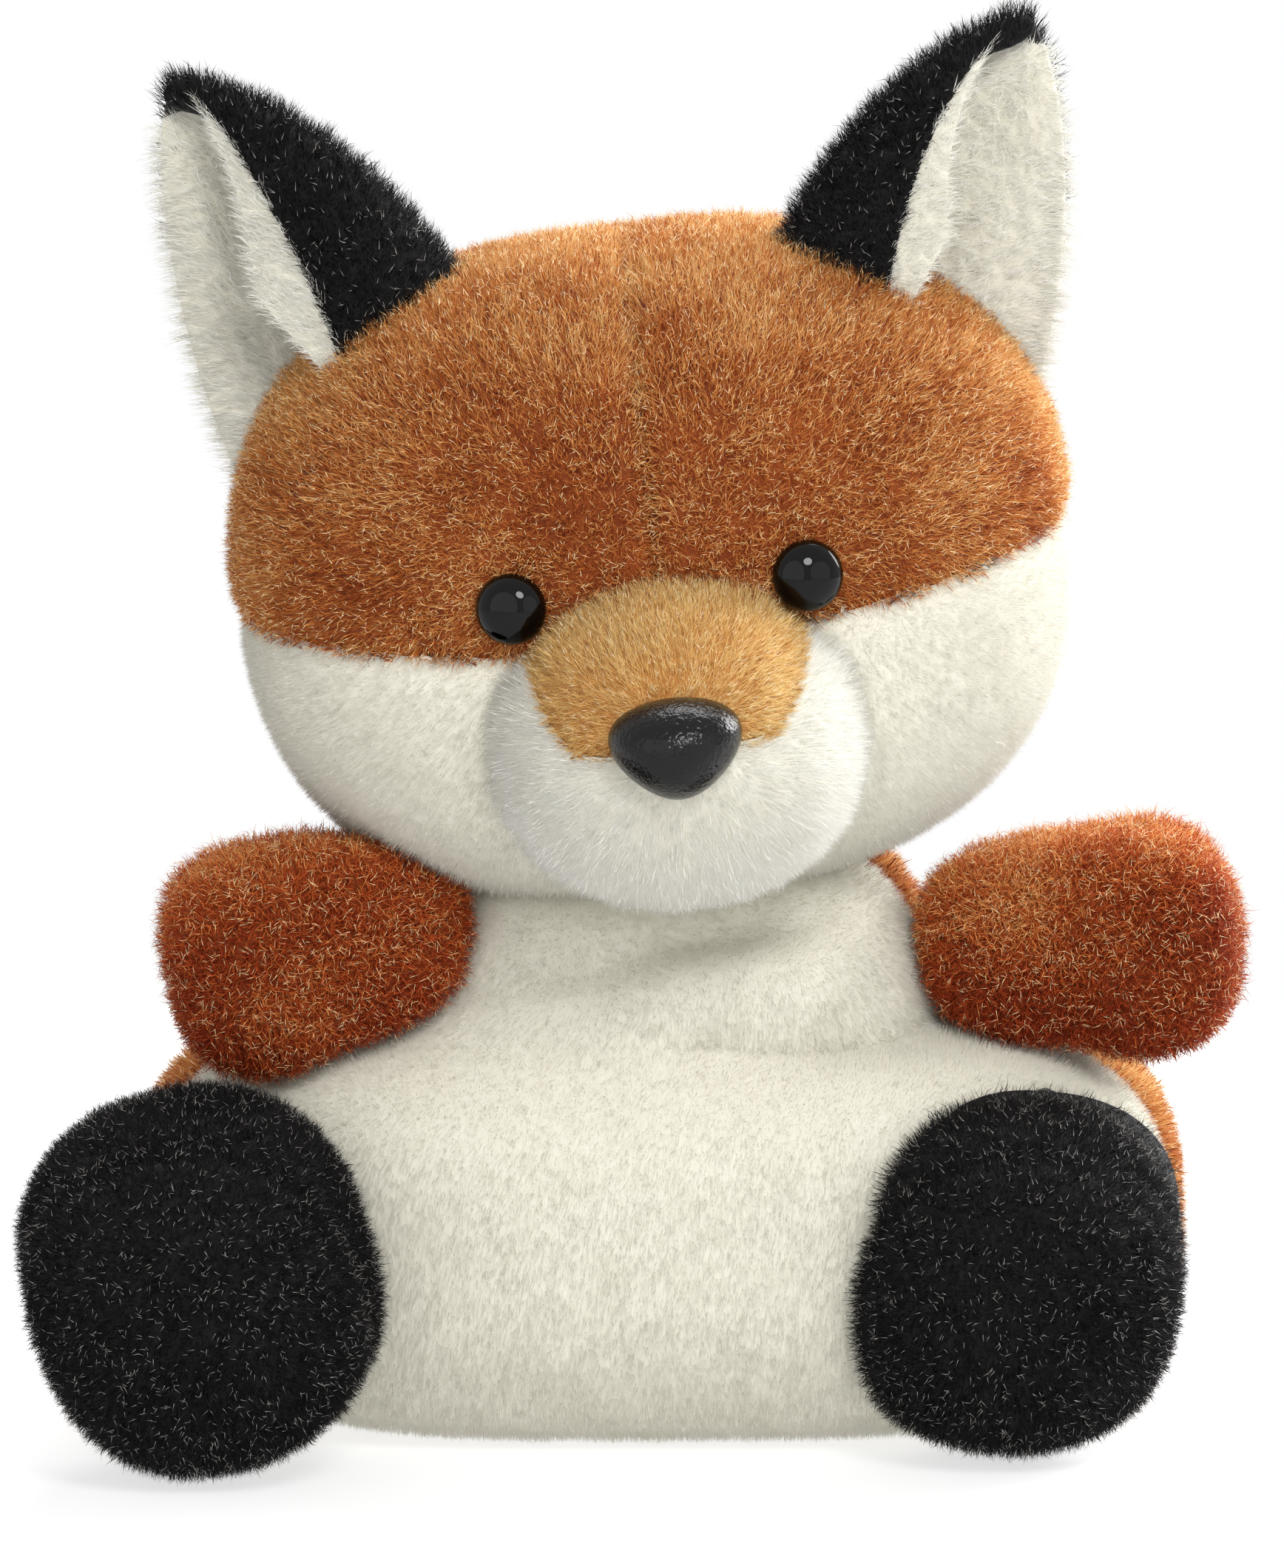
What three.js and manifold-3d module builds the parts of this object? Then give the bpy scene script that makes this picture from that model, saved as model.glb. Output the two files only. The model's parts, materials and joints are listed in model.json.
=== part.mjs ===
// A palm-size plush fox that sits on its bean-filled seat.
// Millimetres. The fox faces -Y, +X is the viewer's right, +Z is up,
// and the origin is the middle of the flat patch it sits on.

import * as THREE from "three";
import { mergeVertices } from "three/addons/utils/BufferGeometryUtils.js";
import Module from "manifold-3d";

const wasm = await Module();
wasm.setup();

// Cloth and clearances
const clothThickness = 2.2;
const pieceGap = 0.3;
const fillingGap = 3.2;
const motionGap = 0.9;
const innerAroundShare = 0.66;
const innerUpShare = 0.75;
const weldDistance = 1e-4;
const farAway = 200;

// Head
const headSide = 36.9;
const headFront = 28.5;
const headBack = 29.5;
const headTop = 29;
const headChin = 29.8;
const headPower = 2.45;
const headForward = 4;
const headShift = -0.5;
const headRoll = 6.5;
const cheekSeamDip = 3.7;
const cheekSeamArch = 3.7;
const cheekSeamTilt = 0.5;
const backSeamDepth = 7;
const cheekSeamMargin = 8;

// Muzzle and nose
const muzzleSide = 16.3;
const muzzleUp = 14.8;
const muzzleReach = 19.5;
const muzzleSink = 6.5;
const muzzleDrop = 12;
const muzzleShift = 0.8;
const muzzlePower = 2.2;
const bridgeSide = 11.9;
const bridgeMiddle = 9.7;
const bridgeUp = 5.9;
const bridgeDown = 12.2;
const bridgeFootAngle = 47;
const noseWidth = 11.4;
const noseHeight = 9;
const noseDepth = 5.6;
const noseDrop = -1.6;
const nosePinch = 0.29;
const noseRim = 0.4;
const noseShift = 0.1;

// Eyes: a domed bead on a stem, locked by a washer behind the cloth
const eyeRadius = 3.2;
const eyeSpread = 13.5;
const eyeDrop = -1.4;
const eyeStand = 2.2;
const eyeRim = 0.8;
const eyeBaseShare = 0.9;
const stemRadius = 1.1;
const stemPlay = 0.15;
const stemBite = 1;
const stemLength = 5.6;
const washerRadius = 3.2;
const washerThickness = 1;
const washerSeat = 1.7;

// Ears, sewn on at an angle down from the crown. Each leans outwards and forwards by its own angles,
// and its black cloth wraps forward to its own angle, which eases towards the tip.
const earHalfWidth = 15.8;
const earCup = 6.5;
const earHeight = 34.3;
const earAngle = 61.5;
const earForward = 4;
const earSink = 4.9;
const earRootDepth = 9;
const earClothThickness = 2;
const earPoint = 0.76;
const earTaper = 1.9;
const earWrapFrom = -32;
const earBlunt = 0.985;
const earEdgeShare = 0.35;
const earEdgeRamp = 5;
const earTipShare = 0.1;
const earFoldLimit = 12;
const ears = {
  left: { outwards: 17, forwards: -5, wrapTo: 166, wrapEase: 10 },
  right: { outwards: 19.5, forwards: 10, wrapTo: 160, wrapEase: 22 },
};

// Body and neck
const seatSide = 46.5;
const seatFront = 26;
const seatBack = 27;
const seatUp = 19.5;
const seatCentre = 19.5;
const seatSag = 0.5;
const seatPower = 2.9;
const chestPower = 2.4;
const chestSide = 25.5;
const chestFront = 20;
const chestBack = 20;
const chestHeight = 21;
const chestCentre = 36;
const foldSharpness = 14;
const sideSeamForward = 11.5;
const sideSeamInner = 2;
const pelletLevel = 24;
const neckSink = 7.8;
const neckRise = 0.8;
const neckCoreRadius = 8.5;
const neckRingRadius = 13;
const neckRingWidth = 2.4;
const neckRingThickness = 1.2;
const neckRingRise = 1;
const nodLimit = 6;

// Arms. Places are counted from the chest's side and middle, and turns are in degrees.
const armThickness = 8.6;
const armHeight = 10.2;
const armFlare = 0.17;
const armHeadGap = 1.9;
const armSwingBack = 12;
const armSwingForward = 20;
const arms = {
  left: { length: 14.6, power: 2.8, outwards: 4.9, forward: 14.5, rise: 9.6, tilt: 12, heading: 188, seam: 9 },
  right: { length: 15.1, power: 2.5, outwards: 12.1, forward: 9.5, rise: 9.2, tilt: -2, heading: -6, seam: 14.5 },
};

// Feet. Places are counted from the seat's side and front.
const footSide = 15.8;
const footDepth = 15.6;
const footPower = 2.3;
const soleSeamSlope = 24;
const soleSeamForward = 3;
const footSplayLimit = 10;
const feet = {
  left: { height: 17.5, inwards: 5.7, forward: 3.5, rise: 18.1, roll: -17, heading: -12, seam: 16.5 },
  right: { height: 16.1, inwards: 15.3, forward: -5.3, rise: 16.8, roll: 6, heading: 10, seam: 10.5 },
};

// Tail
const tailLength = 19;
const tailRadius = 8.6;
const tailPower = 2.1;
const tailLean = 28;
const tailTurn = 24;
const tailTipLength = 14;
const tailShift = 7;
const tailOverlap = 6;
const tailRise = 4;
const tailSwingLimit = 18;

// Places that follow from the sizes
const headHeight = chestCentre + chestHeight - neckSink + headChin;
const neckHeight = headHeight - headChin + neckRise;
const muzzleRoot = headFront - muzzleSink;

const radians = THREE.MathUtils.degToRad;
const vector = (x, y, z) => new THREE.Vector3(x, y, z);

function frameAt(position, turns) {
  const rotation = new THREE.Euler(radians(turns[0]), radians(turns[1]), radians(turns[2]), "ZYX");
  const one = vector(1, 1, 1);
  return new THREE.Matrix4().compose(position, new THREE.Quaternion().setFromEuler(rotation), one);
}

function asSolid(geometry) {
  const bare = geometry.clone();
  bare.deleteAttribute("normal");
  bare.deleteAttribute("uv");
  const merged = mergeVertices(bare, weldDistance);
  return new wasm.Manifold(new wasm.Mesh({
    numProp: 3,
    vertProperties: new Float32Array(merged.attributes.position.array),
    triVerts: new Uint32Array(merged.index.array),
  }));
}

function asGeometry(solid) {
  const mesh = solid.getMesh();
  const geometry = new THREE.BufferGeometry();
  geometry.setAttribute("position", new THREE.BufferAttribute(mesh.vertProperties, 3));
  geometry.setIndex(new THREE.BufferAttribute(mesh.triVerts, 1));
  return geometry;
}

const placed = (solid, matrix) => solid.transform(matrix.elements);

// A closed form that swells about its centre. level is below zero inside the form.
const bulge = (value, half, power) => Math.abs(value / half) ** power;

function roundedLevel(half, power, flare = 0) {
  return (x, y, z) => {
    const widen = 1 + flare * x / half.right;
    const across = bulge(x, x < 0 ? half.left : half.right, power);
    const deep = bulge(y / widen, y < 0 ? half.front : half.back, power);
    const tall = bulge(z / widen, z < 0 ? half.down : half.up, power);
    return (across + deep + tall) ** (1 / power) - 1;
  };
}

function reach(form, direction) {
  let inside = 0;
  let outside = farAway;
  const halvings = 40;
  for (let step = 0; step < halvings; step += 1) {
    const middle = (inside + outside) / 2;
    const p = direction.clone().multiplyScalar(middle);
    if (form.level(p.x, p.y, p.z) < 0) inside = middle;
    else outside = middle;
  }
  return inside;
}

function surfacePoint(form, direction, inset = 0) {
  const unit = direction.clone().normalize();
  return unit.multiplyScalar(reach(form, unit) - inset).applyMatrix4(form.frame);
}

// The form's skin, drawn in by inset. A form that rests on the floor is flat there.
function swell(form, inset, around = form.around, up = form.up) {
  const positions = [];
  const add = (elevation, azimuth) => {
    const flat = Math.cos(elevation);
    const unit = vector(flat * Math.cos(azimuth), flat * Math.sin(azimuth), Math.sin(elevation));
    const p = unit.multiplyScalar(reach(form, unit) - inset).applyMatrix4(form.frame);
    positions.push(p.x, p.y, form.restsOnFloor ? Math.max(p.z, inset) : p.z);
  };
  add(-Math.PI / 2, 0);
  for (let row = 1; row < up; row += 1) {
    for (let column = 0; column < around; column += 1) {
      add(-Math.PI / 2 + Math.PI * row / up, 2 * Math.PI * column / around);
    }
  }
  add(Math.PI / 2, 0);
  const top = 1 + (up - 1) * around;
  const index = [];
  for (let column = 0; column < around; column += 1) {
    const next = (column + 1) % around;
    index.push(0, 1 + next, 1 + column);
    for (let row = 0; row < up - 2; row += 1) {
      const low = 1 + row * around;
      const high = low + around;
      index.push(low + column, low + next, high + next);
      index.push(low + column, high + next, high + column);
    }
    const last = top - around;
    index.push(last + column, last + next, top);
  }
  const geometry = new THREE.BufferGeometry();
  geometry.setAttribute("position", new THREE.Float32BufferAttribute(positions, 3));
  geometry.setIndex(index);
  return asSolid(geometry);
}

// A cloth cover round the form, and the filling inside it.
const innerAround = (form) => Math.round(form.around * innerAroundShare);
const innerUp = (form) => Math.round(form.up * innerUpShare);
const cover = (form) => swell(form, 0)
  .subtract(swell(form, clothThickness, innerAround(form), innerUp(form)));
const filling = (form) => swell(form, clothThickness + pieceGap, innerAround(form), innerUp(form));
const grown = (form, by) => swell(form, -by);
const plainlyGrown = (form, by) => swell(form, -by, innerAround(form), innerUp(form));

// A prism of the outline, which is drawn looking along +Y in the given frame.
function prism(points, frame) {
  const shape = new THREE.Shape(points.map(([x, z]) => new THREE.Vector2(x, z)));
  const geometry = new THREE.ExtrudeGeometry(shape, { depth: farAway, bevelEnabled: false, steps: 1 });
  geometry.translate(0, 0, -farAway / 2);
  geometry.rotateX(Math.PI / 2);
  return placed(asSolid(geometry), frame);
}

// A big box that holds every point whose coordinate along the axis is below the limit.
function below(axis, limit, frame = new THREE.Matrix4()) {
  const box = new THREE.BoxGeometry(farAway, farAway, farAway);
  const shift = vector(0, 0, 0);
  shift[axis] = limit - farAway / 2;
  box.translate(shift.x, shift.y, shift.z);
  return placed(asSolid(box), frame);
}

// Cuts a cover in two along a flat seam.
function parted(solid, axis, limit, frame) {
  const near = solid.intersect(below(axis, limit - pieceGap / 2, frame));
  const far = solid.subtract(below(axis, limit + pieceGap / 2, frame));
  return [near, far];
}

// A solid turned about a joint's axis.
function turned(solid, joint, degrees) {
  const to = new THREE.Matrix4().makeTranslation(joint.at.x, joint.at.y, joint.at.z);
  const back = new THREE.Matrix4().makeTranslation(-joint.at.x, -joint.at.y, -joint.at.z);
  const turn = new THREE.Matrix4().makeRotationAxis(joint.axis, radians(degrees));
  return placed(solid, to.multiply(turn).multiply(back));
}

// Takes away what a neighbour would reach at the stops of a joint and between them.
function clearedOf(solid, neighbour, joint) {
  return [joint.low, 0, joint.high].reduce(
    (rest, degrees) => rest.subtract(turned(neighbour, joint, degrees)),
    solid,
  );
}

const fox = new THREE.Group();

function addPiece(name, solid, finish) {
  const material = new THREE.MeshStandardMaterial({ ...finish, metalness: 0, flatShading: true });
  const mesh = new THREE.Mesh(asGeometry(solid), material);
  mesh.name = name;
  fox.add(mesh);
}

const rustPlush = { color: 0xa4572a, roughness: 0.95 };
const creamPlush = { color: 0xe9e4d0, roughness: 0.95 };
const tanPlush = { color: 0xc08f54, roughness: 0.95 };
const blackPlush = { color: 0x1d1b1c, roughness: 0.95 };
const fibrefill = { color: 0xf4f3ef, roughness: 1 };
const pelletCloth = { color: 0xd8d6cf, roughness: 0.9 };
const nosePlastic = { color: 0x2f2e2d, roughness: 0.45 };
const eyePlastic = { color: 0x0d0b0b, roughness: 0.08 };
const washerPlastic = { color: 0xe8e8e8, roughness: 0.5 };

// Forms
const headForm = {
  frame: frameAt(vector(headShift, -headForward, headHeight), [0, -headRoll, 0]),
  level: roundedLevel({
    left: headSide, right: headSide, front: headFront, back: headBack, down: headChin, up: headTop,
  }, headPower),
  around: 24,
  up: 14,
};

const seatLevel = roundedLevel({
  left: seatSide, right: seatSide, front: seatFront, back: seatBack, down: seatCentre + seatSag, up: seatUp,
}, seatPower);
const chestLevel = roundedLevel({
  left: chestSide, right: chestSide, front: chestFront, back: chestBack, down: chestHeight, up: chestHeight,
}, chestPower);
const bodyForm = {
  frame: frameAt(vector(0, 0, seatCentre), [0, 0, 0]),
  level: (x, y, z) => {
    const seat = Math.exp(-foldSharpness * seatLevel(x, y, z));
    const chest = Math.exp(-foldSharpness * chestLevel(x, y, z - chestCentre + seatCentre));
    return -Math.log(seat + chest) / foldSharpness;
  },
  restsOnFloor: true,
  around: 24,
  up: 14,
};

const muzzleForm = {
  frame: new THREE.Matrix4().multiplyMatrices(
    headForm.frame,
    frameAt(vector(muzzleShift, -muzzleRoot, -muzzleDrop), [0, 0, 0]),
  ),
  level: roundedLevel({
    left: muzzleSide, right: muzzleSide, front: muzzleReach, back: muzzleReach, down: muzzleUp, up: muzzleUp,
  }, muzzlePower),
  around: 20,
  up: 10,
};

// An arm's long axis is its own +X, from the shoulder to the paw.
const armForms = {};
const shoulders = {};
for (const [side, arm] of Object.entries(arms)) {
  const sign = side === "left" ? -1 : 1;
  const at = vector(sign * (chestSide + arm.outwards), -arm.forward, chestCentre + arm.rise);
  const half = { front: armThickness, back: armThickness, down: armHeight, up: armHeight };
  armForms[side] = {
    frame: frameAt(at, [0, arm.tilt, arm.heading]),
    level: roundedLevel({ ...half, left: arm.length, right: arm.length }, arm.power, armFlare),
    around: 14,
    up: 9,
  };
  shoulders[side] = {
    at: vector(-arm.seam, 0, 0).applyMatrix4(armForms[side].frame),
    axis: vector(0, 0, -sign),
    low: -armSwingBack,
    high: armSwingForward,
  };
}

// A foot's sole faces its own -Y, and its hip seam is behind it.
const footForms = {};
const hips = {};
for (const [side, foot] of Object.entries(feet)) {
  const sign = side === "left" ? -1 : 1;
  const at = vector(sign * (seatSide - foot.inwards), -seatFront - foot.forward, foot.rise);
  const half = { left: footSide, right: footSide, front: footDepth, back: footDepth };
  footForms[side] = {
    frame: frameAt(at, [0, foot.roll, foot.heading]),
    level: roundedLevel({ ...half, down: foot.height, up: foot.height }, footPower),
    restsOnFloor: true,
    around: 16,
    up: 10,
  };
  hips[side] = {
    at: vector(0, foot.seam, 0).applyMatrix4(footForms[side].frame),
    axis: vector(0, 0, 1),
    low: -footSplayLimit,
    high: footSplayLimit,
  };
}

// The tail's long axis is its own +Y, from the root to the tip.
const tailForm = {
  frame: frameAt(
    vector(tailShift, seatBack + tailLength - tailOverlap, tailRadius + tailRise),
    [tailLean, 0, -tailTurn],
  ),
  level: roundedLevel({
    left: tailRadius, right: tailRadius, front: tailLength, back: tailLength, down: tailRadius, up: tailRadius,
  }, tailPower),
  around: 14,
  up: 10,
};
const tailRoot = {
  at: vector(tailShift, seatBack, tailRadius + tailRise),
  axis: vector(0, 0, 1),
  low: -tailSwingLimit,
  high: tailSwingLimit,
};

const nod = { at: vector(0, 0, neckHeight), axis: vector(1, 0, 0), low: -nodLimit, high: nodLimit };

// The neck is a ball of filling that both the head and the chest close round.
function neckBall(radius) {
  const ball = new THREE.SphereGeometry(radius, 16, 9);
  ball.rotateX(Math.PI / 2);
  ball.translate(nod.at.x, nod.at.y, nod.at.z);
  return asSolid(ball);
}

function turnedProfile(points, segments = 12) {
  return asSolid(new THREE.LatheGeometry(points.map(([r, h]) => new THREE.Vector2(r, h)), segments));
}

const rod = (radius, low, high) => turnedProfile([[0, low], [radius, low], [radius, high], [0, high]]);
const ring = (inner, outer, low, high) => turnedProfile(
  [[inner, low], [outer, low], [outer, high], [inner, high], [inner, low]],
);

// A frame on the form's skin: +Y points straight out of it, and +Z up along it.
function skinFrame(form, direction) {
  const spread = 0.02;
  const unit = direction.clone().normalize();
  const sideStep = vector(0, 0, 1).cross(unit).normalize().multiplyScalar(spread);
  const upStep = unit.clone().cross(sideStep);
  const nearby = (step) => surfacePoint(form, unit.clone().add(step));
  const across = nearby(sideStep).sub(nearby(sideStep.clone().negate()));
  const upward = nearby(upStep).sub(nearby(upStep.clone().negate()));
  const outward = across.cross(upward).normalize();
  const right = outward.clone().cross(upward).normalize();
  return new THREE.Matrix4()
    .makeBasis(right, outward, right.clone().cross(outward))
    .setPosition(surfacePoint(form, unit));
}

// Eyes and nose are pressed on stems through the cloth into washers behind it.
const washerTop = -clothThickness - washerSeat;
const washerLow = washerTop - washerThickness;
const stemHole = (frame) => placed(rod(stemRadius + pieceGap, -stemLength - pieceGap, stemLength), frame);
const washer = (frame) => placed(
  ring(stemRadius + stemPlay, washerRadius, washerLow, washerTop),
  frame,
);
const washerPocket = (frame) => placed(
  rod(washerRadius + pieceGap, washerLow - pieceGap, 0),
  frame,
).add(stemHole(frame));

function eyeBead(frame) {
  const points = [
    [0, -stemLength],
    [stemRadius, -stemLength],
    [stemRadius, pieceGap],
    [eyeRadius * eyeBaseShare, pieceGap],
  ];
  const steps = 5;
  for (let step = 0; step <= steps; step += 1) {
    const angle = step / steps * Math.PI / 2;
    points.push([eyeRadius * Math.cos(angle), eyeRim + eyeStand * Math.sin(angle)]);
  }
  return placed(turnedProfile(points, 16), frame);
}

const eyeFrames = {
  left: skinFrame(headForm, vector(-eyeSpread + muzzleShift, -headFront, -eyeDrop)),
  right: skinFrame(headForm, vector(eyeSpread + muzzleShift, -headFront, -eyeDrop)),
};
const noseFrame = skinFrame(muzzleForm, vector(noseShift, -muzzleReach, -noseDrop));

// A rounded triangle, wide at the top, that domes forward.
function noseButton() {
  const around = 16;
  const rings = 5;
  const rim = pieceGap + noseRim;
  const positions = [0, pieceGap, 0];
  const outline = (angle) => {
    const height = Math.sin(angle);
    const spread = 1 + nosePinch * height;
    return [Math.cos(angle) * spread * noseWidth / 2, height * noseHeight / 2];
  };
  for (let level = 0; level < rings; level += 1) {
    const rise = level / rings * Math.PI / 2;
    for (let column = 0; column < around; column += 1) {
      const [x, z] = outline(2 * Math.PI * column / around);
      const shrink = Math.cos(rise);
      positions.push(x * shrink, rim + noseDepth * Math.sin(rise), z * shrink);
    }
  }
  positions.push(0, rim + noseDepth, 0);
  const tip = positions.length / 3 - 1;
  const index = [];
  for (let column = 0; column < around; column += 1) {
    const next = (column + 1) % around;
    index.push(0, 1 + column, 1 + next);
    for (let level = 0; level < rings - 1; level += 1) {
      const low = 1 + level * around;
      index.push(low + column, low + around + next, low + next);
      index.push(low + column, low + around + column, low + around + next);
    }
    const last = tip - around;
    index.push(last + column, tip, last + next);
  }
  const geometry = new THREE.BufferGeometry();
  geometry.setAttribute("position", new THREE.Float32BufferAttribute(positions, 3));
  geometry.setIndex(index);
  const stem = rod(stemRadius, -stemLength, pieceGap + stemBite);
  return placed(asSolid(geometry).add(stem), noseFrame);
}

// Head panels
function cheekSeam(shift) {
  const points = [];
  const steps = 12;
  const edge = headSide + cheekSeamMargin;
  for (let step = 0; step <= steps; step += 1) {
    const x = (step / steps * 2 - 1) * edge;
    const share = x / headSide;
    points.push([x, (cheekSeamArch * share + cheekSeamTilt) * share - cheekSeamDip + shift]);
  }
  points.push([edge, -farAway / 2], [-edge, -farAway / 2]);
  return prism(points, headForm.frame);
}

const muzzleOutside = grown(muzzleForm, pieceGap);
const neckPocket = neckBall(neckCoreRadius + pieceGap);
const stemHoles = [eyeFrames.left, eyeFrames.right].map(stemHole);
const headShell = stemHoles.reduce(
  (shell, hole) => shell.subtract(hole),
  cover(headForm).subtract(muzzleOutside).subtract(neckPocket),
);
const [frontShell, backShell] = parted(headShell, "y", backSeamDepth, headForm.frame);
const [crownLeft, crownRight] = parted(
  frontShell.subtract(cheekSeam(pieceGap / 2)),
  "x",
  muzzleShift,
  headForm.frame,
);
addPiece("crown_left", crownLeft, rustPlush);
addPiece("crown_right", crownRight, rustPlush);
addPiece("head_back", backShell, rustPlush);
addPiece("cheek_panel", frontShell.intersect(cheekSeam(-pieceGap / 2)), creamPlush);

// Head filling, hollowed for the neck, the washers and the stems
const headFilling = filling(headForm).subtract(neckPocket);
const eyePockets = [eyeFrames.left, eyeFrames.right].map(washerPocket);
addPiece(
  "head_filling",
  eyePockets.reduce((solid, pocket) => solid.subtract(pocket), headFilling),
  fibrefill,
);

// Muzzle: a white dome with a tan bridge let into its top, sewn on round its root
const headInside = plainlyGrown(headForm, -clothThickness);
const headSkin = grown(headForm, motionGap);
const headReach = grown(headForm, armHeadGap);
const besideEyes = (solid, room) => Object.values(eyeFrames).reduce(
  (rest, frame) => rest.subtract(placed(rod(eyeRadius + room, -clothThickness, muzzleReach), frame)),
  solid,
);
const muzzleShell = besideEyes(
  cover(muzzleForm).subtract(headInside).subtract(stemHole(noseFrame)),
  pieceGap,
);

// The bridge's outline is an oval that is flat at its foot, under the nose.
function bridgePatch(shift) {
  const points = [];
  const steps = 18;
  for (let step = 0; step <= steps; step += 1) {
    const angle = radians(-bridgeFootAngle + (180 + 2 * bridgeFootAngle) * step / steps);
    const tall = angle > 0 && angle < Math.PI ? bridgeUp : bridgeDown;
    points.push([
      (bridgeSide + shift) * Math.cos(angle),
      bridgeMiddle + (tall + shift) * Math.sin(angle),
    ]);
  }
  return prism(points, muzzleForm.frame);
}

addPiece("muzzle_bridge", muzzleShell.intersect(bridgePatch(-pieceGap / 2)), tanPlush);
addPiece("muzzle_dome", muzzleShell.subtract(bridgePatch(pieceGap / 2)), creamPlush);
addPiece(
  "muzzle_filling",
  besideEyes(
    filling(muzzleForm).subtract(headInside).subtract(washerPocket(noseFrame)),
    pieceGap + clothThickness,
  ),
  fibrefill,
);
addPiece("nose", noseButton(), nosePlastic);
addPiece("nose_washer", washer(noseFrame), washerPlastic);
for (const [side, frame] of Object.entries(eyeFrames)) {
  addPiece(`eye_${side}`, eyeBead(frame), eyePlastic);
  addPiece(`eye_washer_${side}`, washer(frame), washerPlastic);
}

// Ears: a cupped leaf of black cloth with a cream lining, wrapped forward at its inner edge
const leafColumns = 12;
const leafRows = 9;

// One layer of the leaf, between two depths from its middle, short of the edge by whole cells.
function leaf(frame, ear, mirror, from, to, short) {
  const point = (s, t, depth) => {
    const height = (earHeight + earRootDepth) * t - earRootDepth;
    const rise = Math.max(height / earHeight, 0);
    const wrapTo = ear.wrapTo - ear.wrapEase * rise;
    const angle = radians(earWrapFrom + (wrapTo - earWrapFrom) * s);
    const width = earHalfWidth * (1 - rise ** earTaper) ** earPoint;
    const fromEdge = earEdgeShare + earEdgeRamp * Math.min(s, 1 - s);
    const thin = Math.min(1, fromEdge, width / earHalfWidth + earTipShare);
    const outward = vector(Math.sin(angle) * earCup, Math.cos(angle) * earHalfWidth, 0).normalize();
    const middle = vector(width * Math.sin(angle), earCup * width / earHalfWidth * Math.cos(angle), height);
    middle.addScaledVector(outward, depth * thin);
    middle.x *= mirror;
    return middle.applyMatrix4(frame);
  };
  const columns = leafColumns - 2 * short;
  const rows = leafRows - short;
  const positions = [];
  for (const depth of [from, to]) {
    for (let row = 0; row <= rows; row += 1) {
      const t = Math.min(row / leafRows, earBlunt);
      for (let column = 0; column <= columns; column += 1) {
        positions.push(...point((column + short) / leafColumns, t, depth).toArray());
      }
    }
  }
  const at = (layer, row, column) => (layer * (rows + 1) + row) * (columns + 1) + column;
  const index = [];
  const quad = (p, q, r, o) => {
    if (mirror > 0) index.push(p, q, r, p, r, o);
    else index.push(p, r, q, p, o, r);
  };
  for (let row = 0; row < rows; row += 1) {
    for (let column = 0; column < columns; column += 1) {
      quad(at(0, row, column), at(0, row, column + 1), at(0, row + 1, column + 1), at(0, row + 1, column));
      quad(at(1, row, column), at(1, row + 1, column), at(1, row + 1, column + 1), at(1, row, column + 1));
    }
    quad(at(0, row + 1, 0), at(1, row + 1, 0), at(1, row, 0), at(0, row, 0));
    quad(at(0, row, columns), at(1, row, columns), at(1, row + 1, columns), at(0, row + 1, columns));
  }
  for (let column = 0; column < columns; column += 1) {
    quad(at(0, 0, column), at(1, 0, column), at(1, 0, column + 1), at(0, 0, column + 1));
    quad(at(0, rows, column + 1), at(1, rows, column + 1), at(1, rows, column), at(0, rows, column));
  }
  const geometry = new THREE.BufferGeometry();
  geometry.setAttribute("position", new THREE.Float32BufferAttribute(positions, 3));
  geometry.setIndex(index);
  return asSolid(geometry);
}

for (const [side, ear] of Object.entries(ears)) {
  const sign = side === "left" ? -1 : 1;
  const angle = radians(earAngle);
  const direction = vector(sign * headSide * Math.sin(angle), -earForward, headSide * Math.cos(angle));
  const inHead = direction.clone().normalize();
  inHead.multiplyScalar(reach(headForm, inHead) - earSink);
  const frame = new THREE.Matrix4().multiplyMatrices(
    headForm.frame,
    frameAt(inHead, [ear.forwards, sign * ear.outwards, 0]),
  );
  const fold = {
    at: inHead.applyMatrix4(headForm.frame),
    axis: vector(1, 0, 0).transformDirection(frame),
    low: -earFoldLimit,
    high: earFoldLimit,
  };
  const layers = {
    back: [leaf(frame, ear, -sign, 0, earClothThickness, 0), blackPlush],
    lining: [leaf(frame, ear, -sign, -pieceGap - earClothThickness, -pieceGap, 1), creamPlush],
  };
  for (const [name, [solid, finish]] of Object.entries(layers)) {
    addPiece(`ear_${side}_${name}`, clearedOf(solid, headSkin, fold), finish);
  }
}

// Neck: a ball of filling, and the cloth ring that sews the head to the chest
addPiece("neck_core", neckBall(neckCoreRadius), fibrefill);
const neckRing = (room) => placed(
  ring(neckRingRadius - neckRingWidth - room, neckRingRadius + room, -neckRingThickness - room, room),
  frameAt(vector(nod.at.x, nod.at.y, neckHeight + neckRingRise), [90, 0, 0]),
);
const neckRingRoom = neckRing(pieceGap);
addPiece("neck_seam", neckRing(0).subtract(headSkin), creamPlush);

// Body panels: a cream front and a rust back, joined down the sides
const sideSeam = (shift) => prism([
  [-farAway / 2, -farAway / 2],
  [farAway / 2, -farAway / 2],
  [farAway / 2, -sideSeamForward + shift],
  [0, -sideSeamInner + shift],
  [-farAway / 2, -sideSeamForward + shift],
], frameAt(vector(0, 0, 0), [-90, 0, 0]));

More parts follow.
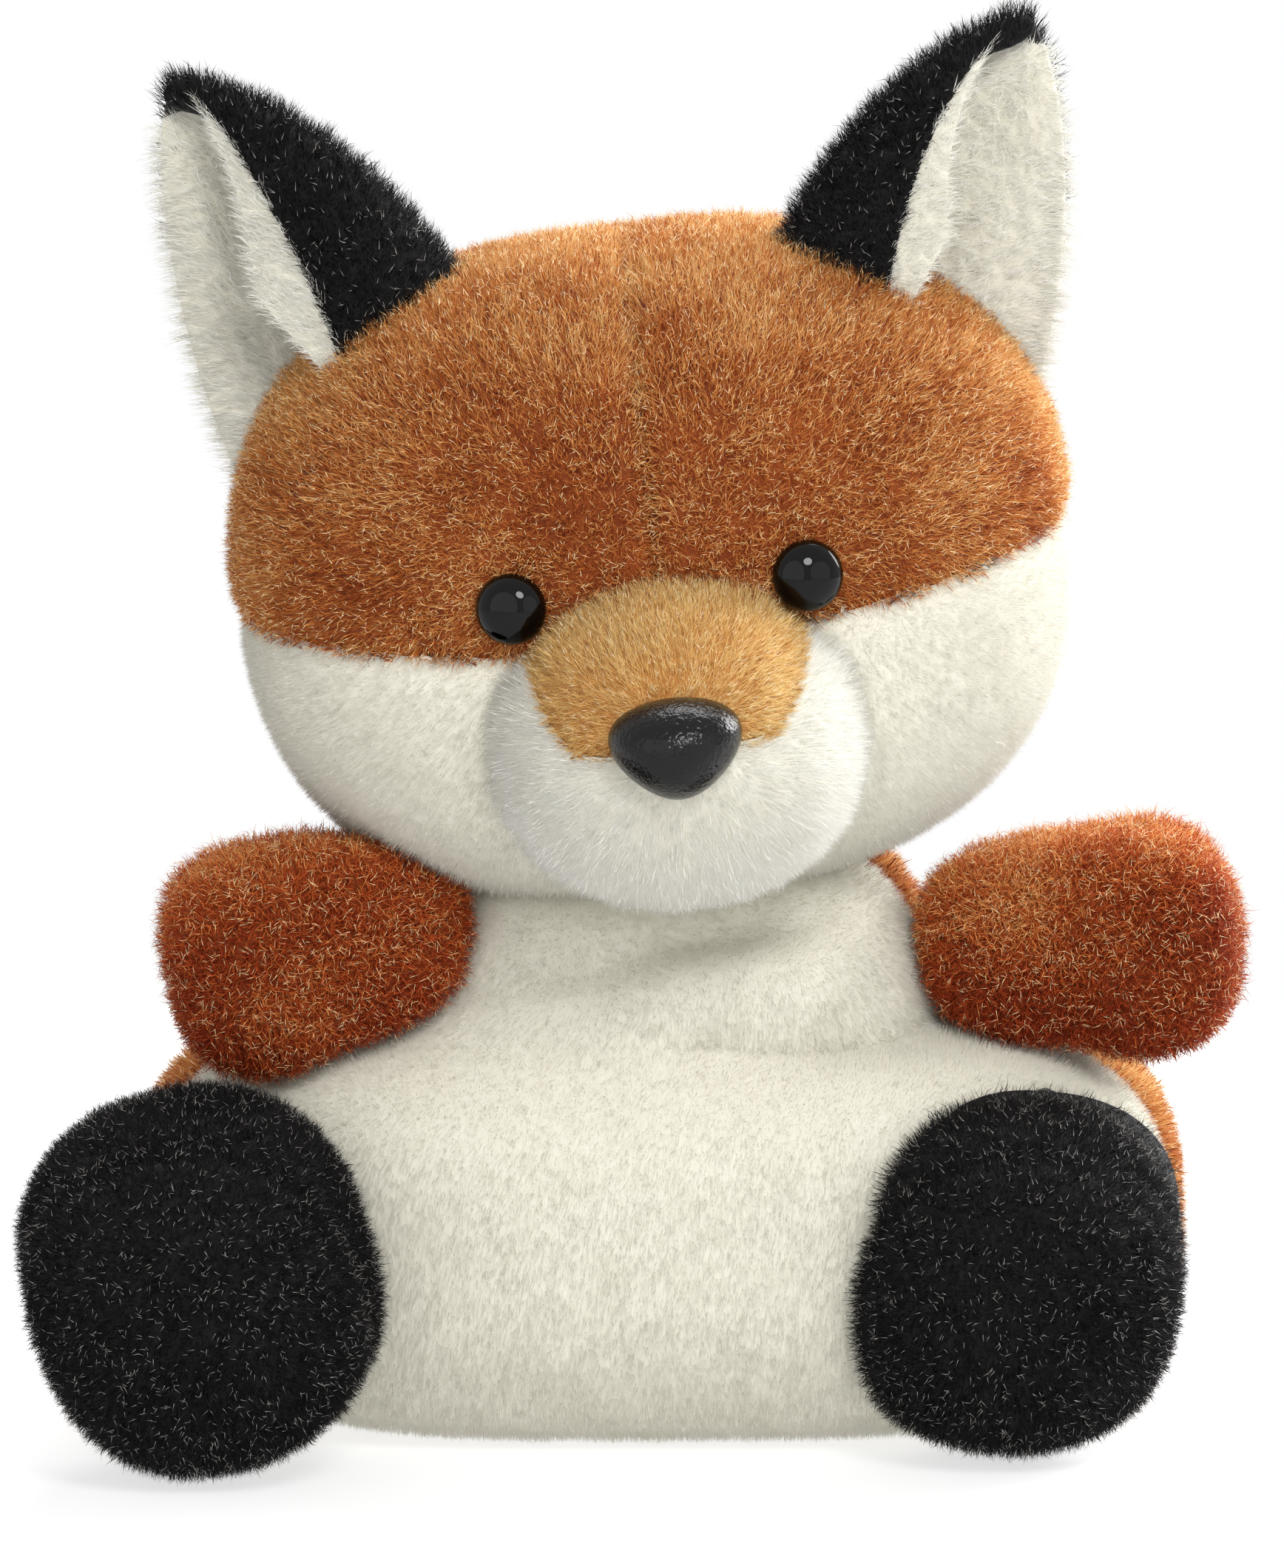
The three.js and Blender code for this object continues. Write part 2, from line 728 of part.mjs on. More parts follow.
const underHead = (solid) => clearedOf(clearedOf(solid, headSkin, nod), neckRingRoom, nod);
const bodyShell = underHead(cover(bodyForm).subtract(neckPocket));
addPiece("belly_panel", bodyShell.intersect(sideSeam(-pieceGap / 2)), creamPlush);
addPiece("back_panel", bodyShell.subtract(sideSeam(pieceGap / 2)), rustPlush);
const bodyFilling = clearedOf(
  filling(bodyForm).subtract(neckPocket).subtract(plainlyGrown(headForm, fillingGap)),
  neckRingRoom,
  nod,
);
const [pelletBag, chestFilling] = parted(bodyFilling, "z", pelletLevel);
addPiece("pellet_bag", pelletBag, pelletCloth);
addPiece("chest_filling", chestFilling, fibrefill);

// Limbs and tail stand clear of the body over the whole travel of their seams.
const bodySkin = grown(bodyForm, pieceGap);
const bodyReach = plainlyGrown(bodyForm, fillingGap);
const seenFrom = (joint) => ({ ...joint, low: -joint.high, high: -joint.low });
const offBody = (solid, joint, body = bodySkin) => clearedOf(solid, body, seenFrom(joint));

for (const [side, form] of Object.entries(armForms)) {
  const joint = shoulders[side];
  const underCheek = clearedOf(offBody(cover(form), joint), headReach, nod);
  const [front, back] = parted(underCheek, "y", 0, form.frame);
  const [frontName, backName] = side === "left" ? ["back", "front"] : ["front", "back"];
  addPiece(`arm_${side}_${frontName}`, front, rustPlush);
  addPiece(`arm_${side}_${backName}`, back, rustPlush);
  const inside = offBody(filling(form), joint, bodyReach).subtract(plainlyGrown(headForm, fillingGap));
  addPiece(`arm_${side}_filling`, inside, fibrefill);
}

for (const [side, form] of Object.entries(footForms)) {
  const shell = offBody(cover(form), hips[side]);
  const seamFrame = form.frame.clone().multiply(frameAt(vector(0, 0, 0), [soleSeamSlope, 0, 0]));
  const [sole, upper] = parted(shell, "y", -soleSeamForward, seamFrame);
  addPiece(`foot_${side}_sole`, sole, blackPlush);
  addPiece(`foot_${side}_upper`, upper, blackPlush);
  addPiece(`foot_${side}_filling`, offBody(filling(form), hips[side], bodyReach), pelletCloth);
}

const tailShell = offBody(cover(tailForm), tailRoot);
const [tailBase, tailTip] = parted(tailShell, "y", tailLength - tailTipLength, tailForm.frame);
addPiece("tail_cover", tailBase, rustPlush);
addPiece("tail_tip", tailTip, creamPlush);
addPiece("tail_filling", offBody(filling(tailForm), tailRoot, bodyReach), fibrefill);

export default fox;
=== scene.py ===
import itertools
import json

import bmesh
import bpy
import numpy as np
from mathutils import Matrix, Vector


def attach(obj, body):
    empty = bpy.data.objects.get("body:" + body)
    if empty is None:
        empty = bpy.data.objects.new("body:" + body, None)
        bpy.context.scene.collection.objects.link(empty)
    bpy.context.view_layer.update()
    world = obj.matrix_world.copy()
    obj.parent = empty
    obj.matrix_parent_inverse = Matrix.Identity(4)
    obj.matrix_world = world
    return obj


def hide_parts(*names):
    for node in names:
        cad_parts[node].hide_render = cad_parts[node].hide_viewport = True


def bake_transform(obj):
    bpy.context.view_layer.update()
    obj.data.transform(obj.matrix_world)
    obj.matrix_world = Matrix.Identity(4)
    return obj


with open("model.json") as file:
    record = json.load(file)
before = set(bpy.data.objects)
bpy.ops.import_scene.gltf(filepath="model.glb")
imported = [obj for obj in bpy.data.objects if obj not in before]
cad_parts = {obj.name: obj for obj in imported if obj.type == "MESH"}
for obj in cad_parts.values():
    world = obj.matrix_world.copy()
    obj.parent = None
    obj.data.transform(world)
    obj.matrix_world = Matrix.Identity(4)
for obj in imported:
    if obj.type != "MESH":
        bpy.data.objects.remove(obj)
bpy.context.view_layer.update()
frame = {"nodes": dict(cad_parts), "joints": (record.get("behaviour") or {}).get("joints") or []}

# Head. It is the form that all the rest is set against: a stuffed ball of cloth, wider than it
# is deep, that leans a little to the viewer's left. Sizes are in millimetres and turns in
# degrees, and each mesh is made in metres.
MILLIMETRE = 0.001
FARTHEST = 120.0
HEAD_SIDE, HEAD_FRONT = 36.9, 28.5


def frame_at(at, turns):
    """The matrix of a frame at a place, turned about its X, Y and Z."""
    (cx, cy, cz), (sx, sy, sz) = np.cos(np.radians(turns)), np.sin(np.radians(turns))
    about_x = np.array([[1, 0, 0], [0, cx, -sx], [0, sx, cx]])
    about_y = np.array([[cy, 0, sy], [0, 1, 0], [-sy, 0, cy]])
    about_z = np.array([[cz, -sz, 0], [sz, cz, 0], [0, 0, 1]])
    matrix = np.eye(4)
    matrix[:3, :3] = about_z @ about_y @ about_x
    matrix[:3, 3] = at
    return matrix


def moved(matrix, points):
    """Points that are given in a frame, in the space that the frame lies in."""
    return points @ matrix[:3, :3].T + matrix[:3, 3]


def rounded(left, right, front, back, down, up, power, flare=0.0):
    """A swollen form's level: below zero inside it, and zero on its skin."""
    def level(points):
        x, y, z = points.T
        widen = 1 + flare * x / right
        across = np.abs(x / np.where(x < 0, left, right)) ** power
        deep = np.abs(y / widen / np.where(y < 0, front, back)) ** power
        tall = np.abs(z / widen / np.where(z < 0, down, up)) ** power
        return (across + deep + tall) ** (1 / power) - 1
    return level


def reach(level, unit):
    """How far the skin is from the form's centre in each direction."""
    low, high = np.zeros(len(unit)), np.full(len(unit), FARTHEST)
    for _ in range(28):
        middle = (low + high) / 2
        inside = level(unit * middle[:, None]) < 0
        low, high = np.where(inside, middle, low), np.where(inside, high, middle)
    return low


def unit_of(vectors):
    """Vectors at a length of one."""
    return vectors / np.maximum(np.linalg.norm(vectors, axis=1), 1e-9)[:, None]


HEAD = frame_at((-0.5, -4, 79), (0, -6.5, 0))
head_level = rounded(HEAD_SIDE, HEAD_SIDE, HEAD_FRONT, 29.5, 29.8, 29, 2.45)

# Muzzle's form, sewn on the front of the head. The cheeks are hidden under it.
MUZZLE = HEAD @ frame_at((0.8, -22, -12), (0, 0, 0))
MUZZLE_DEPTH = 19.5
muzzle_level = rounded(16.3, 16.3, MUZZLE_DEPTH, MUZZLE_DEPTH, 14.8, 14.8, 2.2)


# Head cover. Rust pile cloth over the crown, in two halves, and over the back, and cream pile
# cloth over the cheeks and chin. The panels are sewn, turned and stuffed tight, so they dip at
# every seam.
SKIN_DEPTH = 1.0
SEAM_DIP, SEAM_WIDTH = 0.9, 1.5
CLOTH_THICKNESS = 0.9


def ball(fineness):
    """Directions spread evenly over a ball, and the triangles between them."""
    mesh = bmesh.new()
    bmesh.ops.create_icosphere(mesh, subdivisions=fineness, radius=1.0)
    unit = np.array([vertex.co[:] for vertex in mesh.verts])
    faces = np.array([[vertex.index for vertex in face.verts] for face in mesh.faces])
    mesh.free()
    return unit, faces


def hashed(cells, seed):
    """A settled number from 0 to 1 for each whole cell."""
    mixed = np.sin(cells @ np.array([12.9898, 78.233, 37.719]) + seed * 4.137) * 43758.5453
    return mixed - np.floor(mixed)


def lumps(points, size, seed):
    """Soft lumps of one size, from -1 to 1."""
    cell = np.floor(points / size)
    part = points / size - cell
    part = part * part * (3 - 2 * part)
    total = np.zeros(len(points))
    for corner in itertools.product((0, 1), repeat=3):
        weight = np.prod(np.where(corner, part, 1 - part), axis=1)
        total += weight * hashed(cell + corner, seed)
    return total * 2 - 1


def crease(distance, depth, width):
    """How deep a dip is at a distance from its middle line."""
    return depth * np.exp(-(distance / width) ** 2)


def swollen(level, fineness, dips, unevenness, size, seed):
    """A stuffed form's skin in its own frame, with a dip at each seam and soft lumps."""
    unit, faces = ball(fineness)
    points = unit * (reach(level, unit) - SKIN_DEPTH)[:, None]
    sunk = sum(crease(dip(points), SEAM_DIP, SEAM_WIDTH) for dip in dips)
    sunk = sunk + unevenness * (0.5 + 0.5 * lumps(points, size, seed))
    return points - unit * sunk[:, None], faces


def split(points, faces, value):
    """The mesh cut where value is zero: its points, and the faces below and above it."""
    value = np.where(np.abs(value) < 0.02, 0.02, value)
    above = (value[faces] > 0).sum(1)
    kept_below, kept_above = faces[above == 0], faces[above == 3]
    crossing = faces[(above == 1) | (above == 2)]
    if len(crossing) == 0:
        return points, kept_below, kept_above
    up = value[crossing] > 0
    lone = np.where(up.sum(1) == 1, up.argmax(1), (~up).argmax(1))
    rows = np.arange(len(crossing))
    a, b, c = (crossing[rows, (lone + turn) % 3] for turn in range(3))
    pairs = np.sort(np.stack([np.r_[a, a], np.r_[b, c]], 1), 1)
    edges, index = np.unique(pairs, axis=0, return_inverse=True)
    index = index.reshape(-1)
    first, second = value[edges[:, 0]], value[edges[:, 1]]
    share = (first / (first - second))[:, None]
    fresh = points[edges[:, 0]] * (1 - share) + points[edges[:, 1]] * share
    p, q = len(points) + index[:len(a)], len(points) + index[len(a):]
    tip = np.stack([a, p, q], 1)
    rest = np.stack([p, b, c], 1), np.stack([p, c, q], 1)
    lone_up = up.sum(1) == 1
    parts = {True: [kept_above], False: [kept_below]}
    for side in (True, False):
        chosen = lone_up == side
        parts[side].append(tip[chosen])
        parts[not side] += [half[chosen] for half in rest]
    points = np.concatenate([points, fresh])
    return points, np.concatenate(parts[False]), np.concatenate(parts[True])


def tidy(points, faces):
    """Only the points that the faces use."""
    used, index = np.unique(faces, return_inverse=True)
    return points[used], index.reshape(-1, 3)


def normals_of(points, faces):
    """The way out of the skin at each point."""
    a, b, c = (points[faces[:, corner]] for corner in range(3))
    flat = np.cross(b - a, c - a)
    total = np.zeros_like(points)
    for corner in range(3):
        np.add.at(total, faces[:, corner], flat)
    return unit_of(total)


def thickened(points, faces, thickness):
    """A closed piece of cloth, from its outer side."""
    inner = points - normals_of(points, faces) * thickness
    edges = np.concatenate([faces[:, [0, 1]], faces[:, [1, 2]], faces[:, [2, 0]]])
    _, first, count = np.unique(np.sort(edges, 1), axis=0, return_index=True, return_counts=True)
    start, end = edges[first[count == 1]].T
    size = len(points)
    walls = [
        np.stack([end, start, start + size], 1),
        np.stack([end, start + size, end + size], 1),
    ]
    return np.concatenate([points, inner]), np.concatenate([faces, faces[:, ::-1] + size, *walls])


def cleared(points, level, place, gap, joint=None):
    """Points pressed out of a neighbouring form, over the whole travel of a joint."""
    turns = (joint["low"], 0.0, joint["high"]) if joint else (0.0,)
    for turn in turns:
        there = joint_turn(joint, turn) @ place if joint else place
        local = moved(np.linalg.inv(there), points)
        distance = np.linalg.norm(local, axis=1)
        unit = unit_of(local)
        limit = reach(level, unit) + gap
        local = unit * np.maximum(distance, limit)[:, None]
        points = moved(there, local)
    return points


def joint_turn(joint, degrees):
    """The matrix that turns a neighbour about a joint's axis."""
    x, y, z = joint["axis"]
    angle = np.radians(degrees)
    cross = np.array([[0, -z, y], [z, 0, -x], [-y, x, 0]])
    matrix = np.eye(4)
    matrix[:3, :3] += np.sin(angle) * cross + (1 - np.cos(angle)) * cross @ cross
    matrix[:3, 3] = joint["at"] - matrix[:3, :3] @ joint["at"]
    return matrix


def joint_of(name, seen_from_child=True):
    """A joint's place, axis and limits, turned round where it's the neighbour that turns."""
    found = next(joint for joint in frame["joints"] if joint["name"] == name)
    low, high = found["range_deg"]
    if seen_from_child:
        low, high = -high, -low
    at = np.array(found["pos_m"]) / MILLIMETRE
    return {"at": at, "axis": np.array(found["axis"]), "low": low, "high": high}


def add_mesh(name, points, faces, materials, body, slot):
    """A piece of triangles that rides on a body."""
    mesh = bpy.data.meshes.new(name)
    mesh.from_pydata(points * MILLIMETRE, [], faces.tolist())
    mesh.polygons.foreach_set("use_smooth", [True] * len(mesh.polygons))
    for material in materials:
        mesh.materials.append(material)
    mesh.update()
    return carried(name, mesh, body)


def carried(name, mesh, body):
    """An object that rides on a body. The body's own pieces stay unparented, where they are made.
    """
    piece = bpy.data.objects.new(name, mesh)
    bpy.context.scene.collection.objects.link(piece)
    if body == "body":
        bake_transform(piece)
    else:
        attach(piece, body)
    return piece


def add_node(tree, kind, links=(), **settings):
    """A node with its settings, its sockets' values and what is linked into it."""
    node = tree.nodes.new("ShaderNode" + kind)
    for name, value in settings.items():
        setattr(node, name, value)
    for socket, value in dict(links).items():
        if isinstance(value, bpy.types.NodeSocket):
            tree.links.new(value, node.inputs[socket])
        else:
            node.inputs[socket].default_value = value
    return node


def add_blend(tree, factor, first, second):
    """A blend of two colours, and its output."""
    node = tree.nodes.new("ShaderNodeMix")
    node.data_type = "RGBA"
    tree.links.new(factor, node.inputs["Factor"])
    for socket, value in ((node.inputs[6], first), (node.inputs[7], second)):
        if isinstance(value, bpy.types.NodeSocket):
            tree.links.new(value, socket)
        else:
            socket.default_value = (*value, 1)
    return node.outputs[2]


def fibre_tone():
    """Colour, roughness and height of cloth under its pile: fine fibres and soft mottling."""
    group = bpy.data.node_groups.new("fibre_tone", "ShaderNodeTree")
    face = group.interface
    for name in ("Shade", "Light"):
        face.new_socket(name, in_out="INPUT", socket_type="NodeSocketColor")
    for name in ("Fibre size", "Mottle size"):
        face.new_socket(name, in_out="INPUT", socket_type="NodeSocketFloat")
    face.new_socket("Colour", in_out="OUTPUT", socket_type="NodeSocketColor")
    for name in ("Roughness", "Height"):
        face.new_socket(name, in_out="OUTPUT", socket_type="NodeSocketFloat")
    taken = add_node(group, "TexCoord")
    given = group.nodes.new("NodeGroupInput")
    made = group.nodes.new("NodeGroupOutput")
    across = add_node(group, "VectorMath", {
        0: taken.outputs["Object"], 1: (1.0, 1.0, 0.35),
    }, operation="MULTIPLY")
    fibres = add_node(group, "TexNoise", {
        "Vector": across.outputs[0], "Scale": given.outputs["Fibre size"], "Detail": 4.0,
        "Roughness": 0.7,
    })
    mottle = add_node(group, "TexNoise", {
        "Vector": taken.outputs["Object"], "Scale": given.outputs["Mottle size"], "Detail": 2.0,
    })
    both = add_node(group, "Math", {
        0: fibres.outputs["Fac"], 1: mottle.outputs["Fac"],
    }, operation="ADD")
    spread = add_node(group, "MapRange", {
        "Value": both.outputs[0], "From Min": 0.7, "From Max": 1.3,
    })
    colour = add_blend(group, spread.outputs[0], given.outputs["Shade"], given.outputs["Light"])
    rough = add_node(group, "MapRange", {
        "Value": fibres.outputs["Fac"], "To Min": 0.95, "To Max": 0.75,
    })
    group.links.new(colour, made.inputs["Colour"])
    group.links.new(rough.outputs[0], made.inputs["Roughness"])
    group.links.new(fibres.outputs["Fac"], made.inputs["Height"])
    return group


fibre_group = fibre_tone()
FIBRE_SIZE, MOTTLE_SIZE = 2600.0, 160.0


def cloth_material(name, shade, light, fibre_depth=0.0004):
    """Cloth that lies under a pile of the same hue. A cloth darker than its pile paints the shade
    deep among the fibres.
    """
    material = bpy.data.materials.new(name)
    material.use_nodes = True
    tree = material.node_tree
    shader = tree.nodes["Principled BSDF"]
    tone = tree.nodes.new("ShaderNodeGroup")
    tone.node_tree = fibre_group
    tone.inputs["Shade"].default_value = (*shade, 1)
    tone.inputs["Light"].default_value = (*light, 1)
    tone.inputs["Fibre size"].default_value = FIBRE_SIZE
    tone.inputs["Mottle size"].default_value = MOTTLE_SIZE
    bump = add_node(tree, "Bump", {
        "Height": tone.outputs["Height"], "Strength": 0.6, "Distance": fibre_depth,
    })
    tree.links.new(tone.outputs["Colour"], shader.inputs["Base Color"])
    tree.links.new(tone.outputs["Roughness"], shader.inputs["Roughness"])
    tree.links.new(bump.outputs["Normal"], shader.inputs["Normal"])
    shader.inputs["Specular IOR Level"].default_value = 0.2
    shader.inputs["Sheen Weight"].default_value = 0.2
    return material


def pile_materials(name, shades, specular=0.15):
    """Fibres of a few shades, from the darkest up. The last is a pale, glossier shade that paints
    a glint.
    """
    made = []
    for number, shade in enumerate(shades):
        painted_glint = number == len(shades) - 1
        material = bpy.data.materials.new(f"{name}_{number}")
        material.use_nodes = True
        shader = material.node_tree.nodes["Principled BSDF"]
        shader.inputs["Base Color"].default_value = (*shade, 1)
        shader.inputs["Roughness"].default_value = 0.3 if painted_glint else 0.6
        shader.inputs["Specular IOR Level"].default_value = 0.6 if painted_glint else specular
        made.append(material)
    return made


# The pile's fibres: how many stand on a square millimetre, the share that is bent, how deep their
# roots sit in the cloth, where they bend, and the most faces that one piece of pile holds.
PILE_DENSITY, BENT_SHARE = 20.0, 0.25
ROOT_SINK, KNEE_AT = 0.25, 0.65
MOST_FACES = 188000


def tufts(points, size, seed):
    """The middle of the tuft that each point belongs to, and a settled number for it."""
    cell = np.floor(points / size)
    nearest = np.full(len(points), np.inf)
    middle = np.zeros_like(points)
    number = np.zeros(len(points))
    for step in itertools.product((-1, 0, 1), repeat=3):
        near = cell + step
        shift = np.stack([hashed(near, seed + turn) for turn in range(3)], 1)
        centre = (near + shift) * size
        distance = ((points - centre) ** 2).sum(1)
        closer = distance < nearest
        nearest = np.where(closer, distance, nearest)
        middle[closer] = centre[closer]
        number[closer] = hashed(near, seed + 3)[closer]
    return middle, number


def add_pile(
    name, points, faces, body, slot, materials, comb, length=2.2, lean=0.2, tuft=1.5,
    gather=0.4, frizz=0.5, curl=0.6, thickness=0.09, density=PILE_DENSITY, keep=None, seed=1,
    sparkle=0.35, bent_share=BENT_SHARE, patchy=0.3, tone=0.5, top_tone=0.0,
):
    """Short fibres on a skin. Most are straight, and the rest curl at tips painted a shade paler,
    some with a painted glint.
    """
    chance = np.random.default_rng(seed)
    a, b, c = (points[faces[:, corner]] for corner in range(3))
    areas = np.linalg.norm(np.cross(b - a, c - a), axis=1) / 2
    count = int(areas.sum() * density)
    face = chance.choice(len(faces), count, p=areas / areas.sum())
    one, two = chance.random((2, count))
    flip = one + two > 1
    one, two = np.where(flip, 1 - one, one), np.where(flip, 1 - two, two)
    weights = np.stack([1 - one - two, one, two], 1)
    normals = normals_of(points, faces)
    root = (points[faces[face]] * weights[:, :, None]).sum(1)
    up = unit_of((normals[faces[face]] * weights[:, :, None]).sum(1))
    if keep is not None:
        wanted = keep(root)
        root, up = root[wanted], up[wanted]
    count = len(root)
    bent = int(count * bent_share)
    fine = count - bent

    def along(vectors):
        """The part of each vector that lies along the skin."""
        return vectors - up * (vectors * up).sum(1)[:, None]

    middle, number = tufts(root, tuft, seed % 100)
    drift = np.stack([lumps(root, 4.0, seed % 100 + turn) for turn in (5, 6, 7)], 1)
    wild, wilder = chance.normal(size=(2, count, 3))
    tilt = lean * along(comb(root, up)) + gather * along((middle - root) / tuft + 0.6 * drift)
    tilt = tilt + frizz * along(wild)
    size = length * (0.8 + 0.2 * number + 0.15 * chance.normal(size=count).clip(-1.5, 1.5))
    size[:bent] *= 1.08
    first = unit_of(up + 0.7 * tilt)
    second = unit_of((1 - 0.5 * curl) * up + 1.1 * tilt + curl * along(wilder))
    knee = root + first * (size * KNEE_AT)[:, None]
    tip = knee + second * (size * (1 - KNEE_AT))[:, None]
    root = root - up * ROOT_SINK
    side = unit_of(np.cross(first, wild))
    other = np.cross(first, side)

    def triangle_round(centre, share):
        """Three corners round a fibre, at a share of its thickness."""
        offsets = [np.cos(turn) * side + np.sin(turn) * other
                   for turn in 2 * np.pi * np.arange(3) / 3]
        return [centre + offset * thickness * share for offset in offsets]

    base, elbow = triangle_round(root, 0.5), triangle_round(knee, 0.42)
    strands = np.stack([*base, *elbow, tip], 1)
    strands[:, :, 2] = np.maximum(strands[:, :, 2], 0.05)
    long_ones, short_ones = strands[:bent], strands[bent:][:, [0, 1, 2, 6]]
    vertices = np.concatenate([long_ones.reshape(-1, 3), short_ones.reshape(-1, 3)])
    sides_long = np.array([0, 1, 4, 3, 1, 2, 5, 4, 2, 0, 3, 5, 3, 4, 6, 4, 5, 6, 5, 3, 6])
    sides_short = np.array([0, 1, 3, 1, 2, 3, 2, 0, 3])
    each_long, each_short = np.arange(bent)[:, None], np.arange(fine)[:, None]
    corners = np.concatenate([
        (sides_long + 7 * each_long).reshape(-1),
        (sides_short + 7 * bent + 4 * each_short).reshape(-1),
    ])
    starts = np.concatenate([
        (np.array([0, 4, 8, 12, 15, 18]) + 21 * each_long).reshape(-1),
        (np.array([0, 3, 6]) + 21 * bent + 9 * each_short).reshape(-1),
    ])
    last = len(materials) - 1
    shade = tone + 0.3 * (number - 0.5) + patchy * lumps(root, 8.0, seed % 100 + 9)
    # Fibres on skin that faces up take paler shades: painted light from above.
    shade = shade + 0.26 * chance.normal(size=count) + top_tone * up[:, 2]
    slots = np.clip(np.round(shade * (last - 1)), 0, last - 1)
    # Some curled tips take the last, pale shade, a painted glint. The rest are a shade paler than
    # their roots, which paints light shining through the tips.
    painted_tip_light = np.where(chance.random(bent) < sparkle, last, np.minimum(slots[:bent] + 1, last - 1))
    curled = np.repeat(np.stack([slots[:bent], painted_tip_light], 1), 3, axis=1)
    slots = np.concatenate([curled.reshape(-1), np.repeat(slots[bent:], 3)])
    mesh = bpy.data.meshes.new(name)
    mesh.vertices.add(len(vertices))
    mesh.vertices.foreach_set("co", (vertices.reshape(-1) * MILLIMETRE).astype(np.float32))
    mesh.loops.add(len(corners))
    mesh.loops.foreach_set("vertex_index", corners.astype(np.int32))
    mesh.polygons.add(len(starts))
    mesh.polygons.foreach_set("loop_start", starts.astype(np.int32))
    mesh.polygons.foreach_set("material_index", slots.astype(np.int32))
    mesh.polygons.foreach_set("use_smooth", np.ones(len(starts), dtype=bool))
    for material in materials:
        mesh.materials.append(material)
    mesh.update(calc_edges=True)
    return carried(name, mesh, body)


# The rust cloth is far darker than its pile: painted shade deep among the fibres.
rust_cloth = cloth_material("rust_cloth", (0.14, 0.026, 0.005), (0.32, 0.075, 0.014))
# Every pile's last, palest shade is a painted glint on a glossier finish.
rust_pile = pile_materials("rust_pile", [
    (0.27, 0.050, 0.010), (0.42, 0.102, 0.019), (0.57, 0.19, 0.040), (0.70, 0.31, 0.085),
    (0.80, 0.47, 0.18), (0.94, 0.72, 0.40),
])
cream_cloth = cloth_material("cream_cloth", (0.75, 0.725, 0.62), (0.78, 0.757, 0.66), 0.00012)
cream_pile = pile_materials("cream_pile", [
    (0.745, 0.715, 0.61), (0.755, 0.73, 0.625), (0.765, 0.742, 0.64), (0.78, 0.757, 0.66),
    (0.80, 0.78, 0.69), (0.97, 0.96, 0.90),
])
CREAM_NAP = {
    "length": 1.1, "thickness": 0.055, "density": 26.0, "lean": 0.6, "gather": 0.0,
    "frizz": 0.2, "curl": 0.4, "bent_share": 0.05, "sparkle": 0.5, "lift": 1.0,
}
# The rust pile is painted paler on skin that faces up, as light from above.
RUST_NAP = {
    "length": 1.9, "lift": 0.8, "lean": 0.3, "frizz": 0.4, "tone": 0.48, "top_tone": 0.2,
}


# The head's seams. The cheeks' line rises from its middle to both sides, and slants a little.
CROWN_SEAM_AT, BACK_SEAM_AT = 0.8, 7.0
CHEEK_SEAM_CURVE, CHEEK_SEAM_SLANT, CHEEK_SEAM_DROP = 3.7, 0.5, 3.7
NO_SEAM = 99.0


def cheek_seam(points):
    """Above zero in the crown, and below it in the cheeks."""
    share = points[:, 0] / HEAD_SIDE
    rise = (CHEEK_SEAM_CURVE * share + CHEEK_SEAM_SLANT) * share
    return points[:, 2] - rise + CHEEK_SEAM_DROP


def crown_seam(points):
    """Above zero in the crown's right half."""
    return points[:, 0] - CROWN_SEAM_AT


def back_seam(points):
    """Above zero in the back of the head."""
    return points[:, 1] - BACK_SEAM_AT


def fore_only(seam, sign):
    """A seam that only runs in front of the back panel."""
    return lambda points: np.where(
        (back_seam(points) < 0) & (sign * cheek_seam(points) >= 0), seam(points), NO_SEAM,
    )


head_points, head_faces = swollen(
    head_level, 6,
    [back_seam, fore_only(cheek_seam, 0), fore_only(crown_seam, 1)], 0.35, 9.0, 3,
)


EYE_ASIDE, EYES_MIDDLE, EYES_UP, NEAR_EYE = 13.5, 0.8, 1.4, 12


def off_eyes(points, room):
    """How far points are outside a round of cloth under each eye."""
    nearest = np.full(len(points), NO_SEAM)
    for eye in eye_frames.values():
        x, y, z = moved(np.linalg.inv(eye), points).T
        nearest = np.minimum(nearest, np.where(np.abs(y) < NEAR_EYE, np.hypot(x, z), NO_SEAM))
    return nearest - room


def skin_frame(level, place, direction):
    """A frame on a form's skin: Y points straight out of it and Z up along it."""
    unit = np.array(direction) / np.linalg.norm(direction)
    side = np.cross((0, 0, 1), unit)
    side = side / np.linalg.norm(side) * 0.02
    rise = np.cross(unit, side)

    def nearby(step):
        """The place on the skin a step from the direction."""
        there = unit_of((unit + step)[None])
        return moved(place, there * reach(level, there)[:, None])[0]

    across, upward = nearby(side) - nearby(-side), nearby(rise) - nearby(-rise)
    outward = np.cross(across, upward)
    outward = outward / np.linalg.norm(outward)
    right = np.cross(outward, upward)
    right = right / np.linalg.norm(right)
    matrix = np.eye(4)
    matrix[:3, :3] = np.stack([right, outward, np.cross(right, outward)], 1)
    matrix[:3, 3] = nearby(np.zeros(3))
    return matrix


eye_frames = {
    side: skin_frame(head_level, HEAD, (sign * EYE_ASIDE + EYES_MIDDLE, -HEAD_FRONT, EYES_UP))
    for side, sign in (("left", -1), ("right", 1))
}


def away_from_face(points, normals):
    """The way the head's pile is brushed: up over the crown, and out and down over the cheeks."""
    local = (points - HEAD[:3, 3]) @ HEAD[:3, :3]
    backward = np.full(len(local), 0.35)
    flow = np.stack([0.9 * local[:, 0] / 30, backward, local[:, 2] / 30 + 0.15], 1)
    return flow @ HEAD[:3, :3].T


def off_muzzle(points):
    """Where the head isn't hidden by the muzzle or an eye."""
    local = moved(np.linalg.inv(MUZZLE), points)
    return (muzzle_level(local) > -0.03) & (off_eyes(points, 2.4) > 0)


